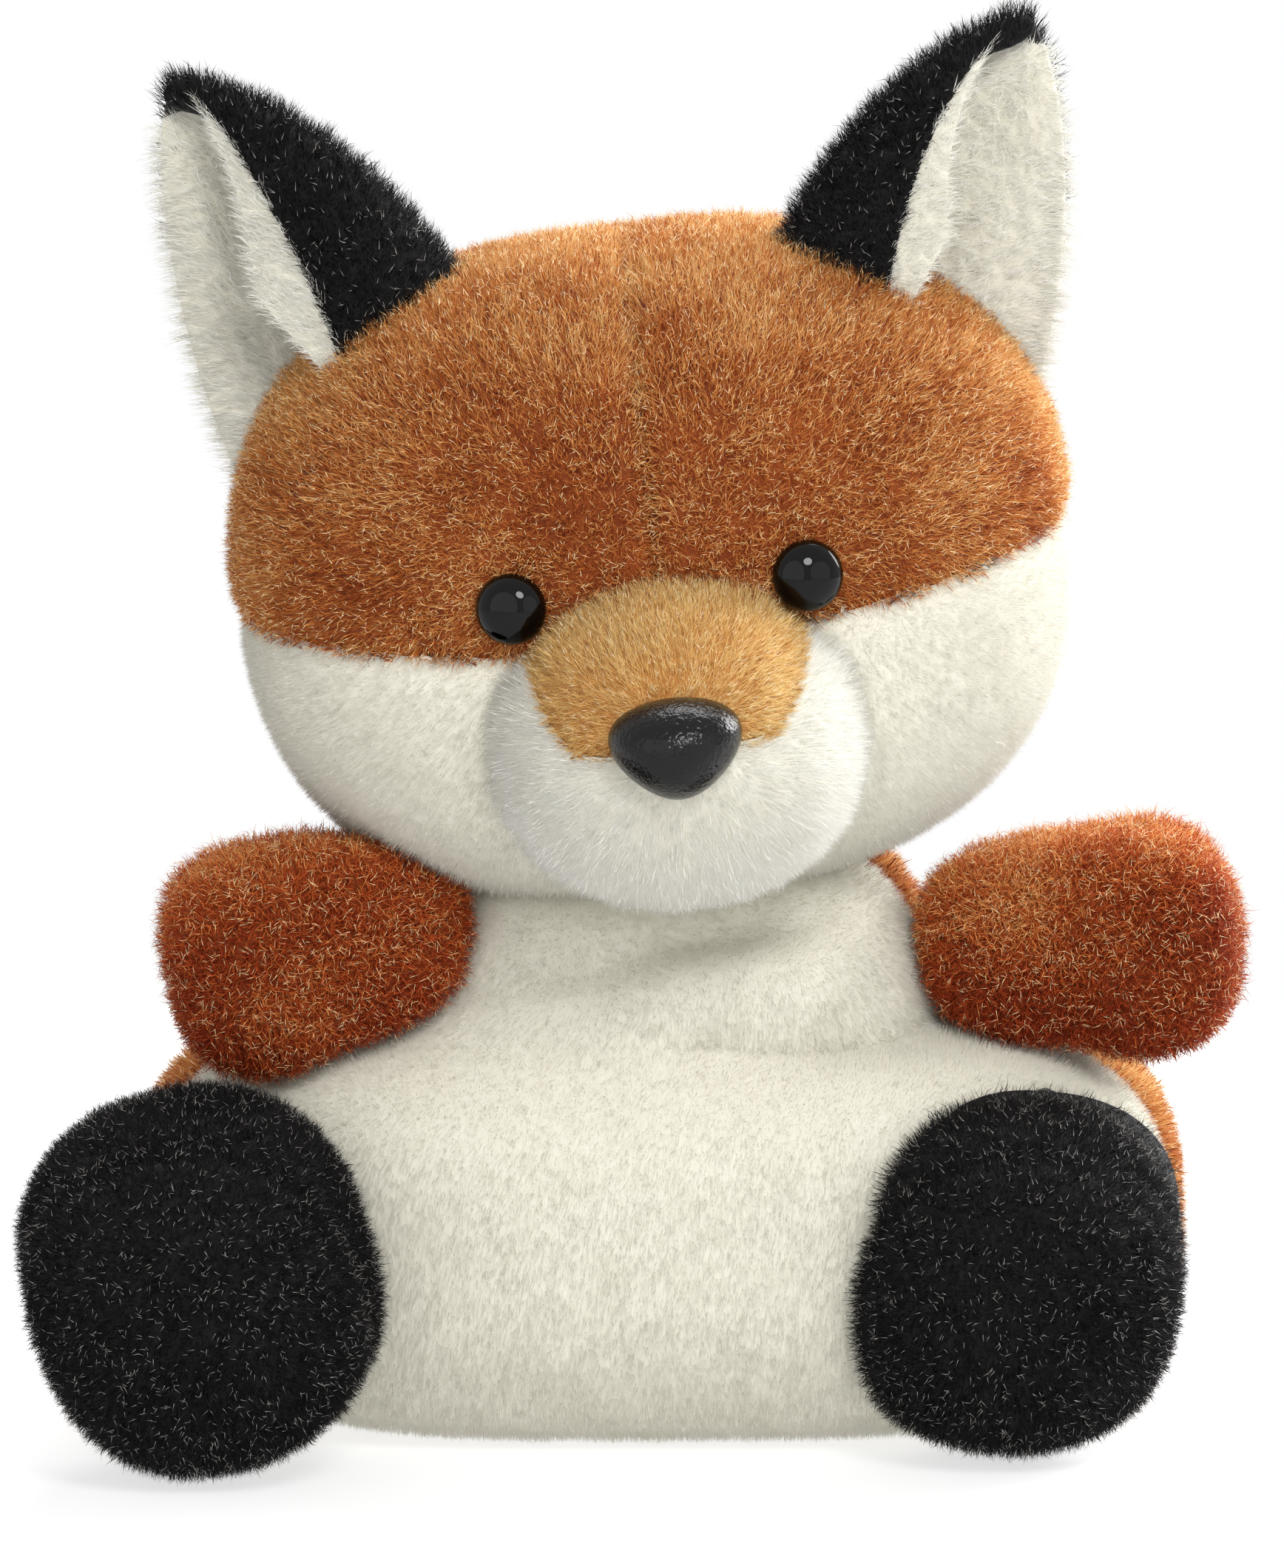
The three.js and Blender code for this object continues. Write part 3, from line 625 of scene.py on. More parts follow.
def add_cover(node, points, faces, body, slot, cloth, pile, comb, lift=0.0, **ways):
    """A panel: its cloth, which stands for the solid, and its pile."""
    points, faces = tidy(points, faces)
    points = points + normals_of(points, faces) * lift
    shell = thickened(points, faces, CLOTH_THICKNESS)
    piece = add_mesh(f"{node}_cloth", *shell, [cloth], body, slot)
    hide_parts(node)
    grow_pile(f"{node}_pile", points, faces, body, slot, pile, comb, **ways)


def grow_pile(name, points, faces, body, slot, pile, comb, **ways):
    """A panel's pile, in as many pieces as keep each of them light."""
    ways = {"density": PILE_DENSITY, "bent_share": BENT_SHARE, "seed": 1} | ways
    a, b, c = (points[faces[:, corner]] for corner in range(3))
    area = np.linalg.norm(np.cross(b - a, c - a), axis=1).sum() / 2
    parts = int(np.ceil(area * ways["density"] * (3 + 6 * ways["bent_share"]) / MOST_FACES))
    density, seed = ways.pop("density") / parts, ways.pop("seed")
    for part in range(parts):
        add_pile(
            name if parts == 1 else f"{name}_{part + 1}", points, faces, body, slot, pile, comb,
            density=density, seed=seed + 100 * part, **ways,
        )


head_points, front_faces, back_faces = split(head_points, head_faces, back_seam(head_points))
head_points, cheek_faces, crown_faces = split(head_points, front_faces, cheek_seam(head_points))
head_points, left_faces, right_faces = split(head_points, crown_faces, crown_seam(head_points))
head_world = moved(HEAD, head_points)
for number, (node, faces, slot) in enumerate((
    ("crown_left", left_faces, "rust"), ("crown_right", right_faces, "rust"),
    ("head_back", back_faces, "rust"), ("cheek_panel", cheek_faces, "cream"),
)):
    cloth, pile = (rust_cloth, rust_pile) if slot == "rust" else (cream_cloth, cream_pile)
    add_cover(
        node, head_world, faces, "head", slot + "_plush", cloth, pile, away_from_face,
        keep=off_muzzle, seed=10 + number, **(CREAM_NAP if slot == "cream" else RUST_NAP),
    )


# Muzzle. A cream dome of pile cloth with a tan patch let into its top, sewn on round its root.
# The tan pile is shorter and streaked, and brushed up from the nose.
PATCH_WIDE, PATCH_MIDDLE, PATCH_UP, PATCH_DOWN, PATCH_FOOT = 11.9, 9.7, 5.9, 12.2, 0.8
UNDER_NOSE_WIDE, UNDER_NOSE_TALL = 3.6, 2.6


def bridge_patch(points):
    """How far inside the patch's oval outline, which is flat at its foot, a point lies."""
    x, _, z = points.T
    across = x / PATCH_WIDE
    tall = (z - PATCH_MIDDLE) / np.where(z > PATCH_MIDDLE, PATCH_UP, PATCH_DOWN)
    return np.minimum((1 - np.hypot(across, tall)) * 9, z - PATCH_FOOT)


# The tan cloth is darker than its pile too: painted shade deep among the fibres.
tan_cloth = cloth_material("tan_cloth", (0.36, 0.15, 0.036), (0.58, 0.29, 0.085))
tan_pile = pile_materials("tan_pile", [
    (0.56, 0.26, 0.068), (0.72, 0.40, 0.125), (0.84, 0.53, 0.19), (0.90, 0.64, 0.27),
    (0.93, 0.73, 0.37), (0.96, 0.83, 0.58),
])
# A paler copy of the cream pile, for the muzzle and the ears' linings and lips. It paints light
# into the shade of the long pile and of the ears' hollows. On the muzzle it is also a whiter
# cream.
white_painted_light_pile = pile_materials("white_painted_light_pile", [
    (0.86, 0.835, 0.74), (0.88, 0.86, 0.77), (0.90, 0.88, 0.795), (0.92, 0.90, 0.82),
    (0.94, 0.925, 0.85), (0.97, 0.96, 0.93),
])
muzzle_points, muzzle_faces = swollen(
    muzzle_level, 6, [lambda points: np.where(points[:, 1] < 0, bridge_patch(points), NO_SEAM)],
    0.3, 7.0, 5,
)


def in_head(points):
    """Below zero where the muzzle is sunk in the head."""
    return head_level(moved(np.linalg.inv(HEAD) @ MUZZLE, points)) * 30 + 2.5


def nose_way(points, normals):
    """Brushed outwards from the nose."""
    local = (points - nose_frame[:3, 3]) @ MUZZLE[:3, :3]
    return unit_of(local + 0.001) @ MUZZLE[:3, :3].T


nose_frame = skin_frame(muzzle_level, MUZZLE, (0.1, -MUZZLE_DEPTH, 1.6))
muzzle_points, _, muzzle_faces = split(muzzle_points, muzzle_faces, in_head(muzzle_points))
clear_of_eyes = off_eyes(moved(MUZZLE, muzzle_points), 3.5)
muzzle_points, _, muzzle_faces = split(muzzle_points, muzzle_faces, clear_of_eyes)
muzzle_points, dome_faces, bridge_faces = split(
    muzzle_points, muzzle_faces, bridge_patch(muzzle_points),
)
muzzle_world = moved(MUZZLE, muzzle_points)


def off_nose(points):
    """Where the muzzle isn't pressed by the nose or an eye."""
    local = moved(np.linalg.inv(nose_frame), points)
    near = (local[:, 0] / UNDER_NOSE_WIDE) ** 2 + (local[:, 2] / UNDER_NOSE_TALL) ** 2
    return (near > 1) & (off_eyes(points, 3.3) > 0)


add_cover(
    "muzzle_bridge", muzzle_world, bridge_faces, "head", "tan_plush", tan_cloth, tan_pile,
    nose_way, length=1.5, lean=0.6, keep=off_nose, seed=20, density=36.0, gather=0.8,
    tuft=0.9, frizz=0.35, curl=0.3, patchy=0.2, thickness=0.07, bent_share=0.15, lift=0.7,
)
# The dome takes the pale pile at its paler shades. This paints light against the shade of its
# long pile, and gives a whiter cream.
add_cover(
    "muzzle_dome", muzzle_world, dome_faces, "head", "cream_plush", cream_cloth, white_painted_light_pile,
    nose_way, keep=off_nose, seed=21,
    **CREAM_NAP | {
        "length": 2.0, "lean": 0.75, "density": 30.0, "gather": 0.35, "tuft": 2.2,
        "lift": 0.8, "thickness": 0.07, "tone": 0.8,
    },
)


# Eyes. Polished black beads of plastic with a domed face, each on a stem that goes through the
# cloth and is locked by a washer behind it.
def spun(profile, around=48):
    """A solid turned about Y from its profile of radius and height."""
    angles = 2 * np.pi * np.arange(around) / around
    rings = [
        np.stack([r * np.cos(angles), np.full(around, h), r * np.sin(angles)], 1)
        for r, h in profile[1:-1]
    ]
    ends = [np.array([[0, profile[0][1], 0]]), np.array([[0, profile[-1][1], 0]])]
    points = np.concatenate([*rings, *ends])
    next_one = np.roll(np.arange(around), -1)
    here = np.arange(around)
    faces = []
    for ring in range(len(rings) - 1):
        low, high = ring * around, (ring + 1) * around
        faces.append(np.stack([low + here, high + here, low + next_one], 1))
        faces.append(np.stack([high + here, high + next_one, low + next_one], 1))
    bottom, top = len(points) - 2, len(points) - 1
    last = (len(rings) - 1) * around
    faces.append(np.stack([here, next_one, np.full(around, bottom)], 1))
    faces.append(np.stack([last + next_one, last + here, np.full(around, top)], 1))
    return points, np.concatenate(faces)


def plastic(name, colour, roughness, grain, grain_size, specular):
    """Moulded plastic with a fine grain."""
    material = bpy.data.materials.new(name)
    material.use_nodes = True
    tree = material.node_tree
    shader = tree.nodes["Principled BSDF"]
    place = add_node(tree, "TexCoord")
    noise = add_node(tree, "TexNoise", {
        "Vector": place.outputs["Object"], "Scale": grain_size, "Detail": 1.0,
    })
    rough = add_node(tree, "MapRange", {
        "Value": noise.outputs["Fac"], "To Min": roughness * 0.8, "To Max": roughness * 1.25,
    })
    shade, light = ([part * share for part in colour] for share in (0.8, 1.2))
    tint = add_blend(tree, noise.outputs["Fac"], shade, light)
    bump = add_node(tree, "Bump", {
        "Height": noise.outputs["Fac"], "Strength": grain, "Distance": 0.00015,
    })
    tree.links.new(tint, shader.inputs["Base Color"])
    tree.links.new(rough.outputs[0], shader.inputs["Roughness"])
    tree.links.new(bump.outputs["Normal"], shader.inputs["Normal"])
    shader.inputs["Specular IOR Level"].default_value = specular
    return material


eye_plastic = plastic("eye_plastic", (0.0008, 0.0007, 0.0007), 0.04, 0.0, 900.0, 0.2)
washer_plastic = plastic("washer_plastic", (0.8, 0.8, 0.79), 0.45, 0.3, 1500.0, 0.5)
EYE_RADIUS, EYE_BASE, EYE_RISE = 3.2, 0.8, 2.2
STEM_END = [(0, -5.6), (1.0, -5.6), (1.1, -5.4)]
dome = [
    (EYE_RADIUS * np.cos(turn), EYE_BASE + EYE_RISE * np.sin(turn))
    for turn in np.linspace(0, np.pi / 2, 17)
]
eye_profile = [*STEM_END, (1.1, 0.3), (2.7, 0.3), (3.1, 0.5), *dome]
for side, place in eye_frames.items():
    points, faces = spun(eye_profile)
    bead = add_mesh(
        f"eye_{side}_bead", moved(place, points), faces, [eye_plastic], "head", "eye_plastic",
    )
    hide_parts(f"eye_{side}")
for node in ("eye_washer_left", "eye_washer_right", "nose_washer"):
    frame["nodes"][node].data.materials.clear()
    frame["nodes"][node].data.materials.append(washer_plastic)


# Nose. A moulded button with a satin grain, a rounded triangle that is wide at the top. Its stem
# goes through the cloth and is locked by a washer too.
NOSE_HALF_WIDTH, NOSE_HALF_HEIGHT, NOSE_BASE, NOSE_RISE = 5.7, 4.5, 0.7, 5.6


def nose_button(around=96, rings=26):
    """Its points and triangles, with Y straight out of the muzzle."""
    turn = 2 * np.pi * np.arange(around) / around
    tall = np.sin(turn)
    wide = np.cos(turn) * (1 + 0.29 * tall)
    points = [np.array([[0, 0.3, 0]])]
    heights = [(0.92, 0.35), (0.985, 0.5)]
    heights += [(np.cos(rise), NOSE_BASE + NOSE_RISE * np.sin(rise))
                for rise in np.linspace(0, np.pi / 2, rings)[:-1]]
    for shrink, height in heights:
        points.append(np.stack([
            wide * NOSE_HALF_WIDTH * shrink, np.full(around, height),
            tall * NOSE_HALF_HEIGHT * shrink,
        ], 1))
    points.append(np.array([[0, NOSE_BASE + NOSE_RISE, 0]]))
    here = np.arange(around)
    after = np.roll(here, -1)
    faces = [np.stack([np.zeros(around, int), 1 + here, 1 + after], 1)]
    for ring in range(len(heights) - 1):
        low = 1 + ring * around
        high = low + around
        faces.append(np.stack([low + here, high + here, low + after], 1))
        faces.append(np.stack([high + here, high + after, low + after], 1))
    last = 1 + (len(heights) - 1) * around
    faces.append(np.stack([last + here, np.full(around, last + around), last + after], 1))
    return np.concatenate(points), np.concatenate(faces)


nose_plastic = plastic("nose_plastic", (0.004, 0.0038, 0.0036), 0.2, 0.7, 2600.0, 0.22)
nose_points, nose_faces = nose_button()
nose_piece = add_mesh(
    "nose_button", moved(nose_frame, nose_points), nose_faces, [nose_plastic], "head",
    "nose_plastic",
)
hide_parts("nose")
stem_points, stem_faces = spun([*STEM_END, (1.1, 1.3), (0, 1.3)], 24)
add_mesh(
    "nose_stem", moved(nose_frame, stem_points), stem_faces, [nose_plastic], "head",
    "nose_plastic",
)


# Ears. Each is a cupped leaf: black pile cloth outside, wrapped forward round the inner edge and
# over the tip, and a cream lining in the hollow, which shows as a lip beside the black. All are
# sewn down to the head.
EAR_HALF_WIDTH, EAR_CUP, EAR_HEIGHT, EAR_ROOT = 15.8, 6.5, 34.3, 9.0
EAR_COLUMNS, EAR_ROWS = 60, 64
EAR_START, TIP_WRAP = -32, 0.86
EAR_SPREAD, EAR_SINK = 61.5, 4.9


def ear_width(rise):
    """Half an ear's width at a share of its height."""
    return EAR_HALF_WIDTH * (1 - rise ** 1.9) ** 0.76


def ear_sheet(place, mirror, wrap, depth, edges, tip, tall, cap=0.0):
    """One layer of an ear at a depth from its middle, between its edges at each rise."""
    share = np.linspace(0, 1, EAR_COLUMNS + 1)[None, :]
    t = np.linspace(0, tip, EAR_ROWS + 1)[:, None]
    height = (EAR_HEIGHT + EAR_ROOT) * t - EAR_ROOT
    rise = np.maximum(height / EAR_HEIGHT, 0)
    at_rise, starts, ends = np.transpose(edges)
    start, end = np.interp(rise, at_rise, starts), np.interp(rise, at_rise, ends)
    s = start + (end - start) * share
    wrap_to, ease = wrap
    over = cap * np.clip((rise - TIP_WRAP) / (1 - TIP_WRAP), 0, 1) ** 1.5
    angle = np.radians(EAR_START + (wrap_to - ease * rise + over - EAR_START) * s)
    width = ear_width(rise)
    thin = np.minimum(1, 0.35 + 5 * np.clip(np.minimum(s, 1 - s), 0, 1))
    thin = np.minimum(thin, width / EAR_HALF_WIDTH + 0.1)
    out = np.stack([np.sin(angle) * EAR_CUP, np.cos(angle) * EAR_HALF_WIDTH], -1)
    out = out / np.linalg.norm(out, axis=-1, keepdims=True)
    x = width * np.sin(angle) + out[..., 0] * depth * thin
    y = EAR_CUP * width / EAR_HALF_WIDTH * np.cos(angle) + out[..., 1] * depth * thin
    z = np.broadcast_to(height * tall, x.shape)
    return moved(place, np.stack([mirror * x, y, z], -1).reshape(-1, 3))


def ear_grid(mirror):
    """The triangles of an ear's sheet, with their outer side out."""
    here = (np.arange(EAR_ROWS)[:, None] * (EAR_COLUMNS + 1) + np.arange(EAR_COLUMNS)).reshape(-1)
    right, above, both = here + 1, here + EAR_COLUMNS + 1, here + EAR_COLUMNS + 2
    faces = np.concatenate([np.stack([here, both, right], 1), np.stack([here, above, both], 1)])
    return faces if mirror > 0 else faces[:, ::-1]


black_cloth = cloth_material("black_cloth", (0.004, 0.004, 0.004), (0.012, 0.011, 0.011))
# Its last, grey shade is a painted glint.
black_pile = pile_materials("black_pile", [
    (0.003, 0.003, 0.0032), (0.005, 0.0048, 0.005), (0.008, 0.0076, 0.0078),
    (0.013, 0.0122, 0.0124), (0.022, 0.0205, 0.0205), (0.30, 0.28, 0.26),
], specular=0.1)


def ear_shares(place, mirror, points):
    """How far up an ear and how far across it, from its middle line, points lie."""
    local = moved(np.linalg.inv(place), points)
    rise = np.clip(local[:, 2] / EAR_HEIGHT, 0, 0.97)
    return rise, local[:, 0] * mirror / ear_width(rise), local[:, 1]


def ear_way(place, mirror, sideways, fringe):
    """Brushed from the root to the tip, and off the outer edge in a fringe."""
    def way(points, normals):
        rise, across, _ = ear_shares(place, mirror, points)
        beyond = np.clip(-across - 0.3, 0, 0.4) * fringe
        upward = 1 + 2 * np.clip((rise - 0.8) / 0.2, 0, 1)
        flow = (sideways - beyond)[:, None] * mirror * place[:3, 0]
        return flow + upward[:, None] * place[:3, 2]
    return way


LIP_EDGES = [(0, 0.985, 1.0), (0.12, 0.985, 1.02), (0.4, 0.985, 1.1), (0.88, 0.985, 1.03)]
EAR_NAP = {"length": 2.1, "lean": 0.5, "gather": 0.5, "frizz": 0.35, "density": 24.0}
for side, sign, turns, wrap, tall in (
    ("left", -1, (-5, -17, 0), (166, 10), 1.0), ("right", 1, (10, 19.5, 0), (160, 22), 0.975),
):
    toward = np.radians(EAR_SPREAD)
    direction = unit_of(np.array([[
        sign * HEAD_SIDE * np.sin(toward), -4.0, HEAD_SIDE * np.cos(toward),
    ]]))
    root = direction[0] * (reach(head_level, direction)[0] - EAR_SINK)
    place = HEAD @ frame_at(root, turns)
    faces = ear_grid(-sign)

    def in_the_hollow(points, place=place, mirror=-sign):
        """Where the lining shows, clear of the inner edge and the tip."""
        rise, across, deep = ear_shares(place, mirror, points)
        return (deep > 0) & (across < 0.5) & (rise < 0.9)

    # The lining and lip take the pale pile at its paler shades: painted light in the ear's
    # hollow.
    for layer, cloth, pile, colour, shape, ways in (
        ("back", black_cloth, black_pile, "black",
         {"depth": 1.0, "edges": [(0, 0, 1)], "tip": 0.9985, "cap": 95.0},
         {"comb": (-0.1, 3.0), "sparkle": 0.25, "bent_share": 0.15}),
        ("lining", cream_cloth, white_painted_light_pile, "cream",
         {"depth": -1.5, "edges": [(0, -0.02, 0.97)], "tip": 0.93},
         {"comb": (-0.5, 9.0), "keep": in_the_hollow, "length": 2.5, "thickness": 0.075,
          "bent_share": 0.1, "density": 30.0, "lean": 1.2, "gather": 0.8, "tone": 0.8}),
        ("lip", cream_cloth, white_painted_light_pile, "cream",
         {"depth": 0.7, "edges": LIP_EDGES, "tip": 0.93},
         {"comb": (-1.2, 0.0), "length": 2.2, "thickness": 0.075, "bent_share": 0.1,
          "density": 30.0, "lean": 0.9, "gather": 0.7, "tone": 0.8}),
    ):
        points = ear_sheet(place, -sign, wrap, tall=tall, **shape)
        shown = faces[:, ::-1] if layer == "lining" else faces
        out_of_head = head_level(moved(np.linalg.inv(HEAD), points)) * 30 + 0.6
        points, _, shown = split(points, shown, out_of_head)
        points, shown = tidy(points, shown)
        piece = add_mesh(
            f"ear_{side}_{layer}_cloth", *thickened(points, shown, CLOTH_THICKNESS / 2),
            [cloth], f"ear_{side}", f"{colour}_plush",
        )
        if layer != "lip":
            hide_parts(f"ear_{side}_{layer}")
        ways = EAR_NAP | ways | {"comb": ear_way(place, -sign, *ways["comb"])}
        grow_pile(
            f"ear_{side}_{layer}_pile", points, shown, f"ear_{side}", f"{colour}_plush", pile,
            seed=30 + len(layer) + sign, **ways,
        )


# Body. A cream front and a rust back, joined down the sides. The wide seat is weighted and flat
# underneath, the chest rises out of it, and the lap folds where they meet.
BODY = frame_at((0, 0, 19.5), (0, 0, 0))
seat_level = rounded(46.5, 46.5, 26, 27, 20, 19.5, 2.9)
chest_level = rounded(25.5, 25.5, 20, 20, 21, 21, 2.4)
CHEST_RISE, JOIN_SHARPNESS = 16.5, 14
FLAT_UNDERSIDE, PRESSED_IN = 0.25, -0.4


def body_level(points):
    """The seat and the chest run into one form."""
    seat = np.exp(-JOIN_SHARPNESS * seat_level(points))
    chest = np.exp(-JOIN_SHARPNESS * chest_level(points - (0, 0, CHEST_RISE)))
    return -np.log(seat + chest) / JOIN_SHARPNESS


def side_seam(points):
    """Above zero in the back panel."""
    return points[:, 1] + 2 + 9.5 * np.abs(points[:, 0]) / 100


def front_line(points, start, end, sag, depth, width):
    """A fold on the front, from one point to another as seen from the front."""
    x, y, z = points.T
    (x0, z0), (x1, z1) = start, end
    share = np.clip((x - x0) / (x1 - x0), 0, 1)
    line = z0 + (z1 - z0) * share - sag * np.sin(np.pi * share)
    fade = np.exp(-(np.maximum(np.maximum(x0 - x, x - x1), 0) / 3) ** 2)
    return crease(z - line, depth, width) * fade * (y < 0)


body_points, body_faces = swollen(body_level, 6, [side_seam], 0.4, 11.0, 7)
body_world = moved(BODY, body_points)
folds = front_line(body_world, (-34, 37.0), (14, 47.0), -1.0, 0.9, 2.0)
folds += front_line(body_world, (5, 38.0), (28, 37.0), 0.8, 1.3, 1.7)
folds -= front_line(body_world, (1, 42.5), (14, 42.5), -0.5, 1.3, 3.4)
body_world = body_world - unit_of(body_world - BODY[:3, 3]) * folds[:, None]
body_world = cleared(body_world, head_level, HEAD, 0.3)
body_world[:, 2] = np.maximum(body_world[:, 2], FLAT_UNDERSIDE)
body_world, belly_faces, rear_faces = split(body_world, body_faces, side_seam(body_world))


def downwards(points, normals):
    """Brushed down."""
    return np.broadcast_to(np.array([0.0, 0.0, -1.0]), points.shape)


def off_head(points):
    """Where the body isn't pressed by the head."""
    return head_level(moved(np.linalg.inv(HEAD), points)) > 0.02


add_cover(
    "belly_panel", body_world, belly_faces, "body", "cream_plush", cream_cloth, cream_pile,
    downwards, keep=off_head, seed=40, **CREAM_NAP,
)
add_cover(
    "back_panel", body_world, rear_faces, "body", "rust_plush", rust_cloth, rust_pile,
    downwards, keep=off_head, seed=41, density=13.0, thickness=0.12, bent_share=0.1,
    **RUST_NAP,
)


# Arms. Each is a short stuffed mitt of two rust panels, sewn along the top and bottom. The pile
# is a little longer and curlier than elsewhere.
arm_level = {
    "left": rounded(14.6, 14.6, 8.6, 8.6, 10.2, 10.2, 2.9, 0.17),
    "right": rounded(15.1, 15.1, 8.6, 8.6, 10.2, 10.2, 2.9, 0.17),
}
arm_place = {
    "left": frame_at((-30.4, -14.5, 45.6), (0, 12, 188)),
    "right": frame_at((37.6, -9.5, 45.2), (0, -2, -6)),
}


deep_pile = pile_materials("deep_rust_pile", [
    (0.26, 0.030, 0.006), (0.38, 0.052, 0.010), (0.51, 0.092, 0.018), (0.65, 0.175, 0.038),
    (0.79, 0.36, 0.11), (0.94, 0.68, 0.36),
])


def arm_seam(points):
    """The seam along an arm's top, bottom and end."""
    return points[:, 1]


for side, sign in (("left", -1), ("right", 1)):
    level, place = arm_level[side], arm_place[side]
    points, faces = swollen(level, 5, [arm_seam], 1.3, 6.5, 9 + sign)
    points, near_faces, far_faces = split(points, faces, arm_seam(points))
    world = moved(place, points)
    swing = joint_of(f"arm_{side}_swing")
    world = cleared(world, body_level, BODY, PRESSED_IN, swing)
    world = cleared(world, head_level, HEAD, 0.9)
    front, back = (near_faces, far_faces) if side == "right" else (far_faces, near_faces)

    def outwards(points, normals, place=place):
        """Brushed towards the arm's end."""
        return np.broadcast_to(place[:3, 0] * 0.5, points.shape)

    # The arms' tops take paler shades: painted light from above.
    for number, (part, shown) in enumerate((("front", front), ("back", back))):
        add_cover(
            f"arm_{side}_{part}", world, shown, f"arm_{side}", "rust_plush", rust_cloth,
            deep_pile, outwards, length=2.5, gather=0.5, tuft=1.3, curl=1.1, frizz=0.75,
            density=34.0, thickness=0.075, bent_share=0.4, sparkle=0.22,
            tone=0.31 - 0.05 * sign, top_tone=0.35, patchy=0.4, seed=50 + number + sign,
        )


# Feet. Stubby black feet with a flat patch below and a seam between the sole and the upper. They
# are part filled with pellets.
SOLE_SLOPE, SOLE_AHEAD = 24, 3
foot_level = {
    "left": rounded(15.8, 15.8, 15.6, 15.6, 17.5, 17.5, 2.3),
    "right": rounded(15.8, 15.8, 15.6, 15.6, 16.1, 16.1, 2.3),
}
foot_place = {
    "left": frame_at((-40.8, -29.5, 18.1), (0, -17, -12)),
    "right": frame_at((31.2, -20.7, 16.8), (0, 6, 10)),
}


def sole_seam(points):
    """Below zero in the sole, which faces ahead and a little down."""
    slope = np.radians(SOLE_SLOPE)
    return points[:, 1] * np.cos(slope) + points[:, 2] * np.sin(slope) + SOLE_AHEAD


for side, sign in (("left", -1), ("right", 1)):
    level, place = foot_level[side], foot_place[side]
    points, faces = swollen(level, 6, [sole_seam], 0.6, 8.0, 13 + sign)
    points, sole_faces, upper_faces = split(points, faces, sole_seam(points))
    world = moved(place, points)
    world = cleared(world, body_level, BODY, PRESSED_IN, joint_of(f"foot_{side}_splay"))
    world[:, 2] = np.maximum(world[:, 2], FLAT_UNDERSIDE)

    def backwards(points, normals, place=place):
        """Brushed back, and out from the middle of the sole."""
        local = (points - place[:3, 3]) @ place[:3, :3]
        backward = np.full(len(local), 0.5)
        flow = np.stack([local[:, 0] / 16, backward, local[:, 2] / 16], 1)
        return flow @ place[:3, :3].T

    for number, (part, shown) in enumerate((("sole", sole_faces), ("upper", upper_faces))):
        add_cover(
            f"foot_{side}_{part}", world, shown, f"foot_{side}", "black_plush", black_cloth,
            black_pile, backwards, length=1.9, lean=0.12, gather=0.3, thickness=0.08,
            density=26.0, bent_share=0.2, sparkle=0.3, seed=60 + number + sign,
        )


# Tail. A short tail low on the back, of rust pile cloth with a cream tip sewn on. It is filled
# with loose fibre and sewn to the back panel.
TAIL = frame_at((7, 40, 12.6), (28, 0, -24))
TAIL_RADIUS, TAIL_HALF_LENGTH, TIP_SEAM_AT = 8.6, 19, 5
tail_level = rounded(
    TAIL_RADIUS, TAIL_RADIUS, TAIL_HALF_LENGTH, TAIL_HALF_LENGTH, TAIL_RADIUS, TAIL_RADIUS, 2.1,
)


def tip_seam(points):
    """Above zero in the tail's cream tip."""
    return points[:, 1] - TIP_SEAM_AT


points, faces = swollen(tail_level, 5, [tip_seam], 0.5, 6.0, 17)
points, base_faces, tip_faces = split(points, faces, tip_seam(points))
tail_world = cleared(moved(TAIL, points), body_level, BODY, PRESSED_IN, joint_of("tail_swing"))
tail_world[:, 2] = np.maximum(tail_world[:, 2], FLAT_UNDERSIDE)


def tailwards(points, normals):
    """Brushed towards the tip."""
    return np.broadcast_to(TAIL[:3, 1], points.shape)


add_cover(
    "tail_cover", tail_world, base_faces, "tail", "rust_plush", rust_cloth, rust_pile,
    tailwards, seed=70, **RUST_NAP | {"length": 2.4, "lean": 0.4},
)
add_cover(
    "tail_tip", tail_world, tip_faces, "tail", "cream_plush", cream_cloth, cream_pile,
    tailwards, length=2.6, lean=0.5, seed=71,
)


# Neck. A rolled strip of cream cloth is sewn in a ring round the place where the head meets the
# chest. Both piles hide it.
RING_AROUND, RING_ALONG = 12, 96
RING_RADIUS, RING_HEIGHT, RING_HALF_WIDTH, RING_HALF_THICKNESS = 11.8, 50.4, 1.0, 0.5
PUCKERS, PUCKER_DEPTH = 32, 0.12
ring_turn = 2 * np.pi * np.arange(RING_ALONG) / RING_ALONG
ring_points = []
for part in 2 * np.pi * np.arange(RING_AROUND) / RING_AROUND:
    radius = RING_RADIUS + RING_HALF_WIDTH * np.cos(part)
    radius = radius + PUCKER_DEPTH * np.sin(PUCKERS * ring_turn)
    height = RING_HEIGHT + RING_HALF_THICKNESS * np.sin(part)
    ring_points.append(np.stack([
        radius * np.cos(ring_turn), radius * np.sin(ring_turn), np.full(RING_ALONG, height),
    ], 1))
grid = np.arange(RING_AROUND * RING_ALONG).reshape(RING_AROUND, RING_ALONG)
first, ahead = grid, np.roll(grid, -1, 1)
beside, across = np.roll(grid, -1, 0), np.roll(grid, (-1, -1), (0, 1))
ring_faces = np.concatenate([
    np.stack([first.reshape(-1), ahead.reshape(-1), across.reshape(-1)], 1),
    np.stack([first.reshape(-1), across.reshape(-1), beside.reshape(-1)], 1),
])
ring = add_mesh(
    "neck_seam_roll", np.concatenate(ring_points), ring_faces, [cream_cloth], "neck",
    "cream_plush",
)
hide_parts("neck_seam")


